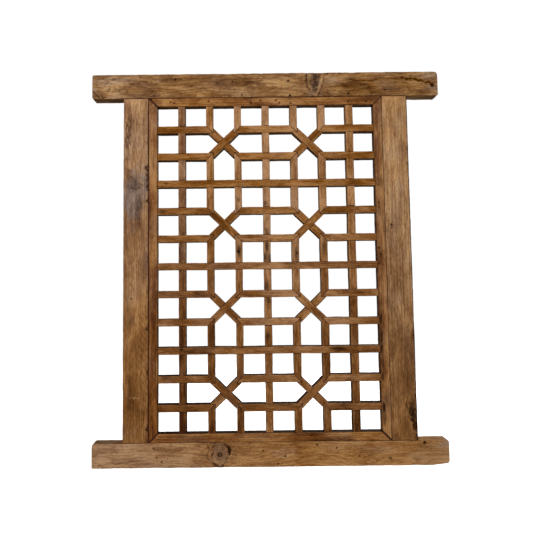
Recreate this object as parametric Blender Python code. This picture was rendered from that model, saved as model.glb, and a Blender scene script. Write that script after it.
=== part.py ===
"""Wooden lattice window screen, in metres, +Z up, with its front towards -Y.

Two long beams with horns hold two stiles. A mitred inner frame sits between them and carries
a lattice of rails, posts and diagonal crosses. Rails run in front of the posts they cross,
in half laps. The origin is the middle of the head beam's back face.
"""
import math

import bmesh
import bpy

# Lattice
BAR_WIDTH = 0.0185
BAR_DEPTH = 0.025
CELL_WIDTH = 0.0539
CELL_HEIGHT = 0.0523
CROSSES_ACROSS = 2
CROSSES_DOWN = 4

# Mitred inner frame
STRIP_WIDTH = 0.0215
STRIP_DEPTH = 0.025

# Outer frame
FRAME_DEPTH = 0.035
STILE_WIDTH = 0.065
HEAD_HEIGHT = 0.064
SILL_HEIGHT = 0.0605
HEAD_HORN = 0.082
SILL_HORN = 0.0763

# How far each front face lies behind the outer frame's
STRIP_SETBACK = 0.0008
BAR_SETBACK = 0.0012

# Joints, arrises and worn corners
JOINT_GAP = 0.0003
JOINT_LINE_DEPTH = 0.003
BAR_ARRIS = 0.001
FRAME_ARRIS = 0.002
SOUND_CORNER = 0.003
ROUNDED_CORNER = 0.008
WORN_CORNER_LENGTH = 0.026
WORN_CORNER_HEIGHT = 0.0095
CORNER_STEPS = 3
CUT_MARGIN = 0.002

# Every third post and rail runs the whole way, and the others stop at the crosses
REPEAT = 3
COLUMNS = REPEAT * CROSSES_ACROSS + 2
ROWS = REPEAT * CROSSES_DOWN
COLUMN_PITCH = CELL_WIDTH + BAR_WIDTH
ROW_PITCH = CELL_HEIGHT + BAR_WIDTH
OPENING_WIDTH = COLUMNS * COLUMN_PITCH - BAR_WIDTH
OPENING_HEIGHT = ROWS * ROW_PITCH - BAR_WIDTH
INNER_WIDTH = OPENING_WIDTH + 2 * STRIP_WIDTH
INNER_HEIGHT = OPENING_HEIGHT + 2 * STRIP_WIDTH
STILE_INSIDE = INNER_WIDTH / 2 + JOINT_GAP
STILE_OUTSIDE = STILE_INSIDE + STILE_WIDTH

# Heights, from the middle of the head beam down
HEAD_TOP = HEAD_HEIGHT / 2
HEAD_UNDERSIDE = -HEAD_HEIGHT / 2
INNER_TOP = HEAD_UNDERSIDE - JOINT_GAP
INNER_BOTTOM = INNER_TOP - INNER_HEIGHT
OPENING_TOP = INNER_TOP - STRIP_WIDTH
OPENING_BOTTOM = INNER_BOTTOM + STRIP_WIDTH
SILL_TOP = INNER_BOTTOM - JOINT_GAP
SILL_UNDERSIDE = SILL_TOP - SILL_HEIGHT

# Depths, from the back of the beams forwards
FRAME_BACK = 0.0
FRAME_FRONT = FRAME_BACK - FRAME_DEPTH
STRIP_FRONT = FRAME_FRONT + STRIP_SETBACK
BAR_FRONT = FRAME_FRONT + BAR_SETBACK
BAR_BACK = BAR_FRONT + BAR_DEPTH
LAP_FACE = BAR_FRONT + BAR_DEPTH / 2

HALF_BAR = BAR_WIDTH / 2
MITRE_SHIFT = JOINT_GAP / math.sqrt(2)

LEFT = -1
RIGHT = 1
UP = 1
DOWN = -1
BUTT = 0

WOODS = {
    "beam_wood": ((0.21, 0.115, 0.058), 0.78),
    "stile_wood": ((0.20, 0.105, 0.050), 0.78),
    "inner_frame_wood": ((0.22, 0.105, 0.042), 0.72),
    "lattice_wood": ((0.27, 0.130, 0.052), 0.70),
}


def clear_scene():
    for old in list(bpy.data.objects):
        bpy.data.objects.remove(old, do_unlink=True)


def make_wood(name):
    colour, roughness = WOODS[name]
    wood = bpy.data.materials.new(name)
    wood.use_nodes = True
    shader = wood.node_tree.nodes["Principled BSDF"]
    shader.inputs["Base Color"].default_value = (*colour, 1.0)
    shader.inputs["Roughness"].default_value = roughness
    shader.inputs["Metallic"].default_value = 0.0
    return wood


def post_x(index):
    """The middle of a post, counted from 1 at the left."""
    return index * COLUMN_PITCH - HALF_BAR - OPENING_WIDTH / 2


def rail_z(index):
    """The middle of a rail, counted from 1 at the top."""
    return OPENING_TOP - index * ROW_PITCH + HALF_BAR


def runs_through_post(index):
    return index % REPEAT == 1


def runs_through_rail(index):
    return index % REPEAT == 0


def add_block(shape, outline, front, back):
    """Adds a flat outline in X and Z, taken from front to back."""
    corners = [shape.verts.new((x, front, z)) for x, z in outline]
    face = shape.faces.new(corners)
    grown = bmesh.ops.extrude_face_region(shape, geom=[face])
    moved = [item for item in grown["geom"] if isinstance(item, bmesh.types.BMVert)]
    bmesh.ops.translate(shape, verts=moved, vec=(0.0, back - front, 0.0))


def as_object(name, shape):
    bmesh.ops.recalc_face_normals(shape, faces=shape.faces[:])
    mesh = bpy.data.meshes.new(name)
    shape.to_mesh(mesh)
    shape.free()
    result = bpy.data.objects.new(name, mesh)
    bpy.context.collection.objects.link(result)
    return result


def make_timber(name, outline, front, back, arris, eased, wood):
    """A timber with an outline in X and Z, and its arrises eased at the depths named."""
    shape = bmesh.new()
    add_block(shape, outline, front, back)
    edges = [
        edge
        for edge in shape.edges
        if any(all(math.isclose(v.co.y, y, abs_tol=1e-6) for v in edge.verts) for y in eased)
    ]
    bmesh.ops.bevel(shape, geom=edges, offset=arris, segments=1, affect="EDGES")
    timber = as_object(name, shape)
    timber.data.materials.append(wood)
    return timber


def cut_away(timber, pockets):
    """Takes pockets out of a timber, each given by its outline, its front and its back."""
    shape = bmesh.new()
    for outline, front, back in pockets:
        add_block(shape, outline, front, back)
    cutter = as_object(timber.name + "_cuts", shape)
    cutter.hide_render = True
    cutter.display_type = "WIRE"
    cut = timber.modifiers.new("cuts", "BOOLEAN")
    cut.operation = "DIFFERENCE"
    cut.solver = "EXACT"
    cut.object = cutter


def rectangle(x, z, half_x, half_z):
    return [(x - half_x, z - half_z), (x + half_x, z - half_z), (x + half_x, z + half_z), (x - half_x, z + half_z)]


def rail_laps(rail, first, last):
    """Notches in the back of a rail, one for each post it crosses between two posts."""
    return [
        (
            rectangle(post_x(post), rail_z(rail), HALF_BAR + JOINT_GAP, HALF_BAR + CUT_MARGIN),
            LAP_FACE - JOINT_GAP / 2,
            BAR_BACK + CUT_MARGIN,
        )
        for post in range(first, last + 1)
    ]


def post_laps(post, first, last):
    """Notches in the front of a post, one for each rail that crosses it."""
    return [
        (
            rectangle(post_x(post), rail_z(rail), HALF_BAR + CUT_MARGIN, HALF_BAR + JOINT_GAP),
            BAR_FRONT - CUT_MARGIN,
            LAP_FACE + JOINT_GAP / 2,
        )
        for rail in range(first, last + 1)
    ]


def joint_line(x, z, along_x, along_z, reach):
    """A slit one joint gap wide, centred on a point and running both ways along a direction."""
    length = math.hypot(along_x, along_z)
    step_x, step_z = along_x / length * reach, along_z / length * reach
    side_x, side_z = -along_z / length * JOINT_GAP / 2, along_x / length * JOINT_GAP / 2
    return [
        (x - step_x - side_x, z - step_z - side_z),
        (x + step_x - side_x, z + step_z - side_z),
        (x + step_x + side_x, z + step_z + side_z),
        (x - step_x + side_x, z - step_z + side_z),
    ]


def rail_end(line, side, turn):
    """Where a rail's lower and upper edges stop: at a strip, or mitred to a post that turns up or down."""
    if turn == BUTT:
        stop = side * (OPENING_WIDTH / 2 - JOINT_GAP)
        return stop, stop
    outer = post_x(line) + side * (HALF_BAR - MITRE_SHIFT)
    inner = post_x(line) - side * (HALF_BAR + MITRE_SHIFT)
    return (inner, outer) if turn == DOWN else (outer, inner)


def post_end(line, side, turn):
    """Where a post's left and right edges stop: at a strip, or mitred to a rail that turns left or right."""
    if turn == BUTT:
        stop = OPENING_TOP - JOINT_GAP if side == UP else OPENING_BOTTOM + JOINT_GAP
        return stop, stop
    outer = rail_z(line) + side * (HALF_BAR - MITRE_SHIFT)
    inner = rail_z(line) - side * (HALF_BAR + MITRE_SHIFT)
    return (inner, outer) if turn == LEFT else (outer, inner)


def rail_outline(rail, left_end, right_end):
    z = rail_z(rail)
    left_low, left_high = left_end
    right_low, right_high = right_end
    return [
        (left_low, z - HALF_BAR),
        (right_low, z - HALF_BAR),
        (right_high, z + HALF_BAR),
        (left_high, z + HALF_BAR),
    ]


def post_outline(post, low_end, high_end):
    x = post_x(post)
    low_left, low_right = low_end
    high_left, high_right = high_end
    return [
        (x - HALF_BAR, low_left),
        (x + HALF_BAR, low_right),
        (x + HALF_BAR, high_right),
        (x - HALF_BAR, high_left),
    ]


def make_bar(name, outline, cuts, wood):
    bar = make_timber(name, outline, BAR_FRONT, BAR_BACK, BAR_ARRIS, [BAR_FRONT], wood)
    cut_away(bar, cuts)


def make_full_rails(wood):
    for rail in range(REPEAT, ROWS, REPEAT):
        ends = rail_end(0, LEFT, BUTT), rail_end(0, RIGHT, BUTT)
        laps = rail_laps(rail, 1, COLUMNS - 1)
        make_bar(f"rail_{rail:02d}", rail_outline(rail, *ends), laps, wood)


def make_full_posts(wood):
    for post in range(1, COLUMNS, REPEAT):
        ends = post_end(0, DOWN, BUTT), post_end(0, UP, BUTT)
        laps = post_laps(post, 1, ROWS - 1)
        make_bar(f"post_{post}", post_outline(post, *ends), laps, wood)


def make_short_rails(wood):
    """Rails in three lengths, each mitred to the short posts beside the crosses."""
    for rail in range(2, ROWS - 1):
        if runs_through_rail(rail):
            continue
        turn = UP if rail % REPEAT == 1 else DOWN
        spans = {
            "left": (rail_end(0, LEFT, BUTT), rail_end(2, RIGHT, turn), 1),
            "middle": (rail_end(3, LEFT, turn), rail_end(5, RIGHT, turn), 4),
            "right": (rail_end(6, LEFT, turn), rail_end(0, RIGHT, BUTT), 7),
        }
        for side, (left_end, right_end, post) in spans.items():
            outline = rail_outline(rail, left_end, right_end)
            make_bar(f"rail_{rail:02d}_{side}", outline, rail_laps(rail, post, post), wood)


def make_short_posts(wood):
    """Posts that run from one row of crosses to the next, over one full rail."""
    for post in range(2, COLUMNS - 1):
        if runs_through_post(post):
            continue
        turn = LEFT if post % REPEAT == 2 else RIGHT
        for rail, height in zip(range(REPEAT, ROWS, REPEAT), ("upper", "centre", "lower")):
            ends = post_end(rail + 1, DOWN, turn), post_end(rail - 1, UP, turn)
            laps = post_laps(post, rail, rail)
            make_bar(f"post_{post}_{height}", post_outline(post, *ends), laps, wood)


def mirror_down(outline):
    """The same outline turned over about the middle of the opening."""
    middle = OPENING_TOP + OPENING_BOTTOM
    return [(x, middle - z) for x, z in reversed(outline)]


def mirror_across(outline):
    return [(-x, z) for x, z in reversed(outline)]


def elbow_outline():
    """The first rail's left length with the short post that rises from it."""
    left = -OPENING_WIDTH / 2 + JOINT_GAP
    top = OPENING_TOP - JOINT_GAP
    low, high = rail_z(1) - HALF_BAR, rail_z(1) + HALF_BAR
    inside, outside = post_x(2) - HALF_BAR, post_x(2) + HALF_BAR
    return [(left, low), (outside, low), (outside, top), (inside, top), (inside, high), (left, high)]


def yoke_outline():
    """The first rail's middle length with the two short posts that rise from its ends."""
    top = OPENING_TOP - JOINT_GAP
    low, high = rail_z(1) - HALF_BAR, rail_z(1) + HALF_BAR
    inside, outside = post_x(5) - HALF_BAR, post_x(5) + HALF_BAR
    right_half = [(outside, low), (outside, top), (inside, top), (inside, high)]
    return right_half + mirror_across(right_half)


def mitre_line(post, across):
    """The slit along the mitre between the first rail and a short post that rises from it."""
    slit = joint_line(post_x(post), rail_z(1), across, DOWN, BAR_WIDTH)
    return slit, BAR_FRONT - CUT_MARGIN, BAR_FRONT + JOINT_LINE_DEPTH


def make_end_sets(wood):
    """Mitred sets next to the inner frame's top and bottom, each fused in one solid."""
    sets = {
        "elbow_left": (elbow_outline(), 1, [mitre_line(2, RIGHT)]),
        "yoke": (yoke_outline(), 4, [mitre_line(3, LEFT), mitre_line(5, RIGHT)]),
        "elbow_right": (mirror_across(elbow_outline()), 7, [mitre_line(6, LEFT)]),
    }
    for kind, (outline, post, mitres) in sets.items():
        make_bar(f"top_{kind}", outline, rail_laps(1, post, post) + mitres, wood)
        turned = [(mirror_down(slit), front, back) for slit, front, back in mitres]
        make_bar(f"bottom_{kind}", mirror_down(outline), rail_laps(ROWS - 1, post, post) + turned, wood)


def cross_outline(middle_x, middle_z):
    """Two crossed diagonals whose forked ends fit round the four mitred corners of a cell."""
    diagonal = math.hypot(CELL_WIDTH, CELL_HEIGHT)
    cosine = CELL_WIDTH / diagonal
    sine = CELL_HEIGHT / diagonal
    fork_x = CELL_WIDTH / 2 - JOINT_GAP
    fork_z = CELL_HEIGHT / 2 - JOINT_GAP
    side_tip = HALF_BAR * sine + (fork_z + HALF_BAR * cosine) * cosine / sine
    end_tip = HALF_BAR * cosine + (fork_x + HALF_BAR * sine) * sine / cosine
    quarter = [
        (HALF_BAR / sine, 0.0),
        (side_tip, fork_z),
        (fork_x, fork_z),
        (fork_x, end_tip),
    ]
    next_quarter = [(0.0, HALF_BAR / cosine)] + [(-x, z) for x, z in reversed(quarter[1:])]
    upper = quarter + next_quarter
    lower = [(-x, -z) for x, z in upper]
    return [(middle_x + x, middle_z + z) for x, z in upper + lower]


def lap_lines(middle_x, middle_z, rise):
    """Slits on both sides of the diagonal in front, and behind on both sides of the other one."""
    diagonal = math.hypot(CELL_WIDTH, CELL_HEIGHT)
    offset = (HALF_BAR + JOINT_GAP / 2) / diagonal
    cuts = []
    for slope, front, back in (
        (rise, BAR_FRONT - CUT_MARGIN, LAP_FACE - JOINT_GAP),
        (-rise, LAP_FACE + JOINT_GAP, BAR_BACK + CUT_MARGIN),
    ):
        for side in (LEFT, RIGHT):
            x = middle_x - side * offset * slope * CELL_HEIGHT
            z = middle_z + side * offset * CELL_WIDTH
            cuts.append((joint_line(x, z, CELL_WIDTH, slope * CELL_HEIGHT, BAR_WIDTH), front, back))
    return cuts


def make_crosses(wood):
    """Half-lapped pairs. The one in front rises to the right or left by turns, mirrored across."""
    for number, rail in enumerate(range(1, ROWS, REPEAT), start=1):
        for side, post in zip(("left", "right"), range(2, COLUMNS, REPEAT)):
            middle_x = (post_x(post) + post_x(post + 1)) / 2
            middle_z = (rail_z(rail) + rail_z(rail + 1)) / 2
            rise = UP if (number % 2 == 1) == (side == "left") else DOWN
            outline = cross_outline(middle_x, middle_z)
            make_bar(f"cross_{number}_{side}", outline, lap_lines(middle_x, middle_z, rise), wood)


def make_inner_frame(wood):
    """Four strips mitred at the corners."""
    x_out, x_in = INNER_WIDTH / 2, OPENING_WIDTH / 2
    shift = MITRE_SHIFT
    head = [
        (-x_in + shift, OPENING_TOP),
        (x_in - shift, OPENING_TOP),
        (x_out - shift, INNER_TOP),
        (-x_out + shift, INNER_TOP),
    ]
    side = [
        (x_in, OPENING_BOTTOM + shift),
        (x_out, INNER_BOTTOM + shift),
        (x_out, INNER_TOP - shift),
        (x_in, OPENING_TOP - shift),
    ]
    strips = {
        "inner_head": head,
        "inner_sill": mirror_down(head),
        "inner_right": side,
        "inner_left": mirror_across(side),
    }
    for name, outline in strips.items():
        back = STRIP_FRONT + STRIP_DEPTH
        make_timber(name, outline, STRIP_FRONT, back, BAR_ARRIS, [STRIP_FRONT], wood)


def rounded(corners):
    """An outline whose corners, given as x, z and radius, are turned into arcs."""
    outline = []
    for index, (x, z, radius) in enumerate(corners):
        before = corners[index - 1]
        after = corners[(index + 1) % len(corners)]
        into = math.atan2(z - before[1], x - before[0])
        out_of = math.atan2(after[1] - z, after[0] - x)
        bend = (out_of - into) % (2 * math.pi)
        setback = radius * math.tan(bend / 2)
        centre_x = x - setback * math.cos(into) - radius * math.sin(into)
        centre_z = z - setback * math.sin(into) + radius * math.cos(into)
        for step in range(CORNER_STEPS + 1):
            angle = into - math.pi / 2 + bend * step / CORNER_STEPS
            outline.append((centre_x + radius * math.cos(angle), centre_z + radius * math.sin(angle)))
    return outline


def make_frame_timber(name, outline, wood):
    make_timber(name, outline, FRAME_FRONT, FRAME_BACK, FRAME_ARRIS, [FRAME_FRONT, FRAME_BACK], wood)


def make_head_beam(wood):
    end = STILE_OUTSIDE + HEAD_HORN
    outline = rounded([
        (-end, HEAD_UNDERSIDE, SOUND_CORNER),
        (end, HEAD_UNDERSIDE, ROUNDED_CORNER),
        (end, HEAD_TOP, ROUNDED_CORNER),
        (-end, HEAD_TOP, SOUND_CORNER),
    ])
    make_frame_timber("head_beam", outline, wood)


def make_sill_beam(wood):
    """The sill, with the lower corner of its right horn worn away."""
    end = STILE_OUTSIDE + SILL_HORN
    outline = rounded([
        (-end, SILL_UNDERSIDE, SOUND_CORNER),
        (end - WORN_CORNER_LENGTH, SILL_UNDERSIDE, ROUNDED_CORNER),
        (end, SILL_UNDERSIDE + WORN_CORNER_HEIGHT, ROUNDED_CORNER),
        (end, SILL_TOP, SOUND_CORNER),
        (-end, SILL_TOP, SOUND_CORNER),
    ])
    make_frame_timber("sill_beam", outline, wood)


def make_stiles(wood):
    right = [
        (STILE_INSIDE, INNER_BOTTOM),
        (STILE_OUTSIDE, INNER_BOTTOM),
        (STILE_OUTSIDE, INNER_TOP),
        (STILE_INSIDE, INNER_TOP),
    ]
    for name, outline in (("stile_right", right), ("stile_left", mirror_across(right))):
        make_frame_timber(name, outline, wood)


def main():
    clear_scene()
    beam_wood = make_wood("beam_wood")
    make_head_beam(beam_wood)
    make_sill_beam(beam_wood)
    make_stiles(make_wood("stile_wood"))
    make_inner_frame(make_wood("inner_frame_wood"))
    lattice_wood = make_wood("lattice_wood")
    make_full_rails(lattice_wood)
    make_full_posts(lattice_wood)
    make_short_rails(lattice_wood)
    make_short_posts(lattice_wood)
    make_end_sets(lattice_wood)
    make_crosses(lattice_wood)


main()
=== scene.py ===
"""The looks of the wooden window screen: hand-cut softwood sticks and beams, worn, knotty and stained."""

import math

import bmesh
import bpy
import numpy as np
from mathutils import Matrix, Vector


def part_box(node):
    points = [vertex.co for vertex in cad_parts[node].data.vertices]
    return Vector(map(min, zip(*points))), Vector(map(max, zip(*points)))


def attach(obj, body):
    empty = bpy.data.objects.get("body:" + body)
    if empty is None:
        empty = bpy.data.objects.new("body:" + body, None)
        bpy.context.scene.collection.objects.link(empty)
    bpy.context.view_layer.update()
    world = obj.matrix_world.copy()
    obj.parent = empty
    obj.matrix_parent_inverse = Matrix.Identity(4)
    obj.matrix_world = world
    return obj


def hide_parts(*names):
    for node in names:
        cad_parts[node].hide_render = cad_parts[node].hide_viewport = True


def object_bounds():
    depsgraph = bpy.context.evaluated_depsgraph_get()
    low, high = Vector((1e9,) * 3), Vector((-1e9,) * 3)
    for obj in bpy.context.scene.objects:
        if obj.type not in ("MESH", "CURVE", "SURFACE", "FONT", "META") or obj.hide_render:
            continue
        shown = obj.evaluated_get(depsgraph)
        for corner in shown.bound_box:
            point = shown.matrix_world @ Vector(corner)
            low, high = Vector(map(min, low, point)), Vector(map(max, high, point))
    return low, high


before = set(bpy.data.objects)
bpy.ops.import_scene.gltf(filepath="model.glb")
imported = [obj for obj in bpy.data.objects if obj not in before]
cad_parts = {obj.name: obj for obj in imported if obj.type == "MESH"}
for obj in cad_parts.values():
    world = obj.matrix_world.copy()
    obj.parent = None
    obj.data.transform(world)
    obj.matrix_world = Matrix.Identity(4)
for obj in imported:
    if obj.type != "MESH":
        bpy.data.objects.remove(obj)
cad_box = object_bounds()

MM = 0.001

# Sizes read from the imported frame
BAR_LOW, BAR_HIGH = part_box("rail_06")
BAR_WIDTH = BAR_HIGH.z - BAR_LOW.z
BAR_DEPTH = BAR_HIGH.y - BAR_LOW.y
BAR_FRONT = BAR_LOW.y
HALF_BAR = BAR_WIDTH / 2
LATTICE_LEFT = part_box("inner_left")[1].x
LATTICE_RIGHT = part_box("inner_right")[0].x
LATTICE_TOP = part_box("inner_head")[0].z
LATTICE_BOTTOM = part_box("inner_sill")[1].z
FRAME_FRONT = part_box("head_beam")[0].y
REPEAT = 3
COLUMNS = 8
ROWS = 12
COLUMN_PITCH = (LATTICE_RIGHT - LATTICE_LEFT + BAR_WIDTH) / COLUMNS
ROW_PITCH = (LATTICE_TOP - LATTICE_BOTTOM + BAR_WIDTH) / ROWS
CELL_WIDTH = COLUMN_PITCH - BAR_WIDTH
CELL_HEIGHT = ROW_PITCH - BAR_WIDTH
JOINT_GAP = 0.3 * MM
# How far a mitred end of a stick stops from its mitre line, so little that no light shows through
MITRE_SHIFT = 0.03 * MM

LEFT = -1
RIGHT = 1
UP = 1
DOWN = -1
BUTT = 0

# Camera, fitted to the corners of the lattice openings
CAMERA_PLACE = Vector((-0.0706, -1.3557, -0.5055))
CAMERA_YAW = math.radians(-0.0535)
CAMERA_PITCH = math.radians(4.034)
CAMERA_ROLL = math.radians(0.654)
CAMERA_LENS = 34.667
CAMERA_SHIFT = (0.05539, -0.04909)


def to_linear(hex_colour):
    """A colour written as sRGB hex, as the linear values that a shader takes."""
    linear = []
    for start in (0, 2, 4):
        value = int(hex_colour[start:start + 2], 16) / 255
        linear.append(value / 12.92 if value <= 0.04045 else ((value + 0.055) / 1.055) ** 2.4)
    return (*linear, 1.0)


def add(tree, kind, inputs=(), **settings):
    """Adds a node with its settings. Each input is a value, or a node or socket to link from."""
    node = tree.nodes.new(kind)
    for name, value in settings.items():
        setattr(node, name, value)
    pairs = inputs.items() if isinstance(inputs, dict) else enumerate(inputs)
    for place, source in pairs:
        if isinstance(source, bpy.types.Node):
            source = next(socket for socket in source.outputs if socket.enabled)
        if isinstance(source, bpy.types.NodeSocket):
            tree.links.new(source, node.inputs[place])
        elif source is not None:
            node.inputs[place].default_value = source
    return node


# Wood

GRAIN = "grain"
RINGS = "rings"
RECESS = "recess"
# The joint attribute holds dark joint lines, and painted shade along the stiles' outer front arrises
JOINT_AND_ARRIS_SHADE = "joint"
TONE = "tone"
MARKS = "marks"
ATTRIBUTES = (GRAIN, RINGS, RECESS, JOINT_AND_ARRIS_SHADE, TONE, MARKS)


def old_softwood(name, pale, warm, dark, line, late_strength, ring_spacing, streak_length, streaks, clouds,
                 checks, waviness, greying, fleck, roughness):
    """Old pine or fir, planed by hand and left to weather: streaked along the grain, with dark
    late-wood lines, pale edges that are rubbed and partly a painted highlight, and painted shade in every recess."""
    wood = bpy.data.materials.new(name)
    wood.use_nodes = True
    tree = wood.node_tree
    shader = tree.nodes["Principled BSDF"]
    shader.inputs["IOR"].default_value = 1.5
    shader.inputs["Specular IOR Level"].default_value = 0.01
    stored = {label: add(tree, "ShaderNodeAttribute", attribute_name=label) for label in ATTRIBUTES}
    straight = stored[GRAIN].outputs["Vector"]
    rings, recess, joint, tone = (stored[label].outputs["Fac"] for label in (RINGS, RECESS, JOINT_AND_ARRIS_SHADE, TONE))
    stain, grey, worn = add(tree, "ShaderNodeSeparateXYZ", [stored[MARKS].outputs["Vector"]]).outputs

    # Fibres wander from side to side
    wave_map = add(tree, "ShaderNodeMapping", {"Vector": straight, "Scale": (22, 40, 40)})
    wave = add(tree, "ShaderNodeTexNoise", {"Vector": wave_map, "Scale": 1.0, "Detail": 2.0})
    wave = add(tree, "ShaderNodeVectorMath", [wave.outputs["Color"], (0.5, 0.5, 0.5)], operation="SUBTRACT")
    reach = (0.0, waviness, waviness)
    grain = add(tree, "ShaderNodeVectorMath", [wave, reach, straight], operation="MULTIPLY_ADD")

    # Noises along the grain, by scale, place, detail and distortion. The fibre streaks are about 3 mm wide,
    # drawn coarser than real fibres so that they show
    noises = {}
    for label, scale, place, detail, distortion in (
            ("streak", (1 / streak_length, 360, 360), (0, 0, 0), 4.0, 0.4),
            ("hair", (90, 1100, 1100), (0, 0, 0), 3.0, 0.0),
            ("cloud", (13, 38, 38), (0, 0, 0), 5.0, 0.5),
            ("hue", (11, 24, 24), (5, 9, 3), 4.0, 0.0),
            ("fleck", (170, 420, 420), (0, 0, 0), 2.0, 0.0),
            ("check", (15, 150, 150), (3, 1, 7), 3.0, 0.8)):
        stretched = add(tree, "ShaderNodeMapping", {"Vector": grain, "Scale": scale, "Location": place})
        noise = add(tree, "ShaderNodeTexNoise",
                    {"Vector": stretched, "Scale": 1.0, "Detail": detail, "Distortion": distortion})
        noises[label] = noise.outputs["Fac"]

    # Late wood: a dark line that fades to one side, once in each growth ring
    wander = add(tree, "ShaderNodeMath", [noises["streak"], 1.1], operation="MULTIPLY")
    counted = add(tree, "ShaderNodeMath", [rings, 1 / ring_spacing, wander], operation="MULTIPLY_ADD")
    phase = add(tree, "ShaderNodeMath", [counted], operation="FRACT")
    late = add(tree, "ShaderNodeValToRGB", [phase])

    # Lightness, from the piece's own tone, clouds, streaks and hairs
    light = tone
    for label, share in (("cloud", clouds), ("streak", streaks), ("hair", 0.24)):
        change = add(tree, "ShaderNodeMapRange", [noises[label], 0.3, 0.7, -share, share])
        light = add(tree, "ShaderNodeMath", [light, change], operation="ADD")
    body = add(tree, "ShaderNodeValToRGB", [light])
    late_stops = [(place, (value, value, value, 1)) for place, value in (
        (0.0, 0.0), (0.55, 0.12), (0.84, 1.0), (0.93, 0.6), (1.0, 0.0))]
    body_stops = [(0.0, to_linear(dark)), (1.0, to_linear(pale)), (0.5, to_linear(warm))]
    for ramp, stops in ((late, late_stops), (body, body_stops)):
        elements = ramp.color_ramp.elements
        for element, (place, colour) in zip(elements[:], stops):
            element.position = place
            element.color = colour
        for place, colour in stops[2:]:
            elements.new(place).color = colour
    late_share = add(tree, "ShaderNodeMath", [late.outputs["Color"], late_strength], operation="MULTIPLY")

    # Drying checks: thin dark lines that run with the grain
    check = add(tree, "ShaderNodeMath", [noises["check"], -0.5], operation="ADD")
    check = add(tree, "ShaderNodeMath", [check], operation="ABSOLUTE")
    check_share = add(tree, "ShaderNodeMapRange", [check, 0.0, 0.022, checks, 0.0])
    open_check = add(tree, "ShaderNodeMapRange", [noises["hue"], 0.35, 0.6, 1.0, 0.15])
    check_share = add(tree, "ShaderNodeMath", [check_share, open_check], operation="MULTIPLY")
    colour = body.outputs["Color"]
    for share, over in ((late_share, line), (check_share, "3b2312")):
        mixed = add(tree, "ShaderNodeMix", {0: share, 6: colour, 7: to_linear(over)}, data_type="RGBA")
        colour = mixed.outputs[2]

    # Patches that have greyed lose their warmth, and oiled ones, below zero, are richer
    grey_cloud = add(tree, "ShaderNodeMapRange", [noises["hue"], 0.5, 0.72, 0.0, greying])
    grey_share = add(tree, "ShaderNodeMath", [grey, grey_cloud], operation="ADD")
    warmth = add(tree, "ShaderNodeMapRange", [grey_share, -1.0, 1.0, 1.36, 0.64])
    brightness = add(tree, "ShaderNodeMapRange", [grey_share, 0.0, 1.0, 1.0, 0.9])
    aged = add(tree, "ShaderNodeHueSaturation", {"Saturation": warmth, "Value": brightness, "Color": colour})

    # Edges rubbed pale by hands, partly a painted highlight along the front arrises, and small dark flecks, as of resin
    # pockets and old insect marks
    worn_and_highlight_share = add(tree, "ShaderNodeMapRange", [noises["fleck"], 0.38, 0.62, 0.0, 0.8])
    worn_and_highlight_share = add(tree, "ShaderNodeMath", [worn, worn_and_highlight_share], operation="MULTIPLY", use_clamp=True)
    fleck_share = add(tree, "ShaderNodeMapRange", [noises["fleck"], 0.63, 0.71, 0.0, fleck])

    # Stains, knots and burns
    stain_edge = add(tree, "ShaderNodeMapRange", [noises["streak"], 0.3, 0.7, 0.6, 1.3])
    stain_share = add(tree, "ShaderNodeMath", [stain, stain_edge], operation="MULTIPLY", use_clamp=True)

    # Grime held in the joints, with painted shade along some outer front arrises, and painted shade that deepens from
    # the front edge to the back of each recess
    joint_and_arris_shade_share = add(tree, "ShaderNodeMapRange", [joint, 0.4 * MM, 1.6 * MM, 0.9, 0.0],
                      interpolation_type="SMOOTHSTEP")
    recess_shade_share = add(tree, "ShaderNodeMapRange", [recess, 1.0 * MM, 24 * MM, 0.1, 0.92])
    has_recess_shade = add(tree, "ShaderNodeMapRange", [recess, 0.3 * MM, 1.2 * MM, 0.0, 1.0])
    recess_shade_share = add(tree, "ShaderNodeMath", [recess_shade_share, has_recess_shade], operation="MULTIPLY")
    colour = aged.outputs["Color"]
    for share, over in ((worn_and_highlight_share, pale), (fleck_share, "3a2414"), (stain_share, "2b180b"),
                        (joint_and_arris_shade_share, "38191a"), (recess_shade_share, "1e0f07")):
        mixed = add(tree, "ShaderNodeMix", {0: share, 6: colour, 7: to_linear(over)}, data_type="RGBA")
        colour = mixed.outputs[2]
    tree.links.new(colour, shader.inputs["Base Color"])

    rough = add(tree, "ShaderNodeMapRange", [noises["hair"], 0.3, 0.7, roughness - 0.07, roughness + 0.09])
    tree.links.new(rough.outputs[0], shader.inputs["Roughness"])
    furrow = add(tree, "ShaderNodeMath", [late.outputs["Color"], 0.5, noises["hair"]], operation="MULTIPLY_ADD")
    furrow = add(tree, "ShaderNodeMath", [noises["streak"], 0.8, furrow], operation="MULTIPLY_ADD")
    bump = add(tree, "ShaderNodeBump", {"Strength": 0.7, "Distance": 0.7 * MM, "Height": furrow})
    tree.links.new(bump.outputs[0], shader.inputs["Normal"])
    return wood


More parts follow.
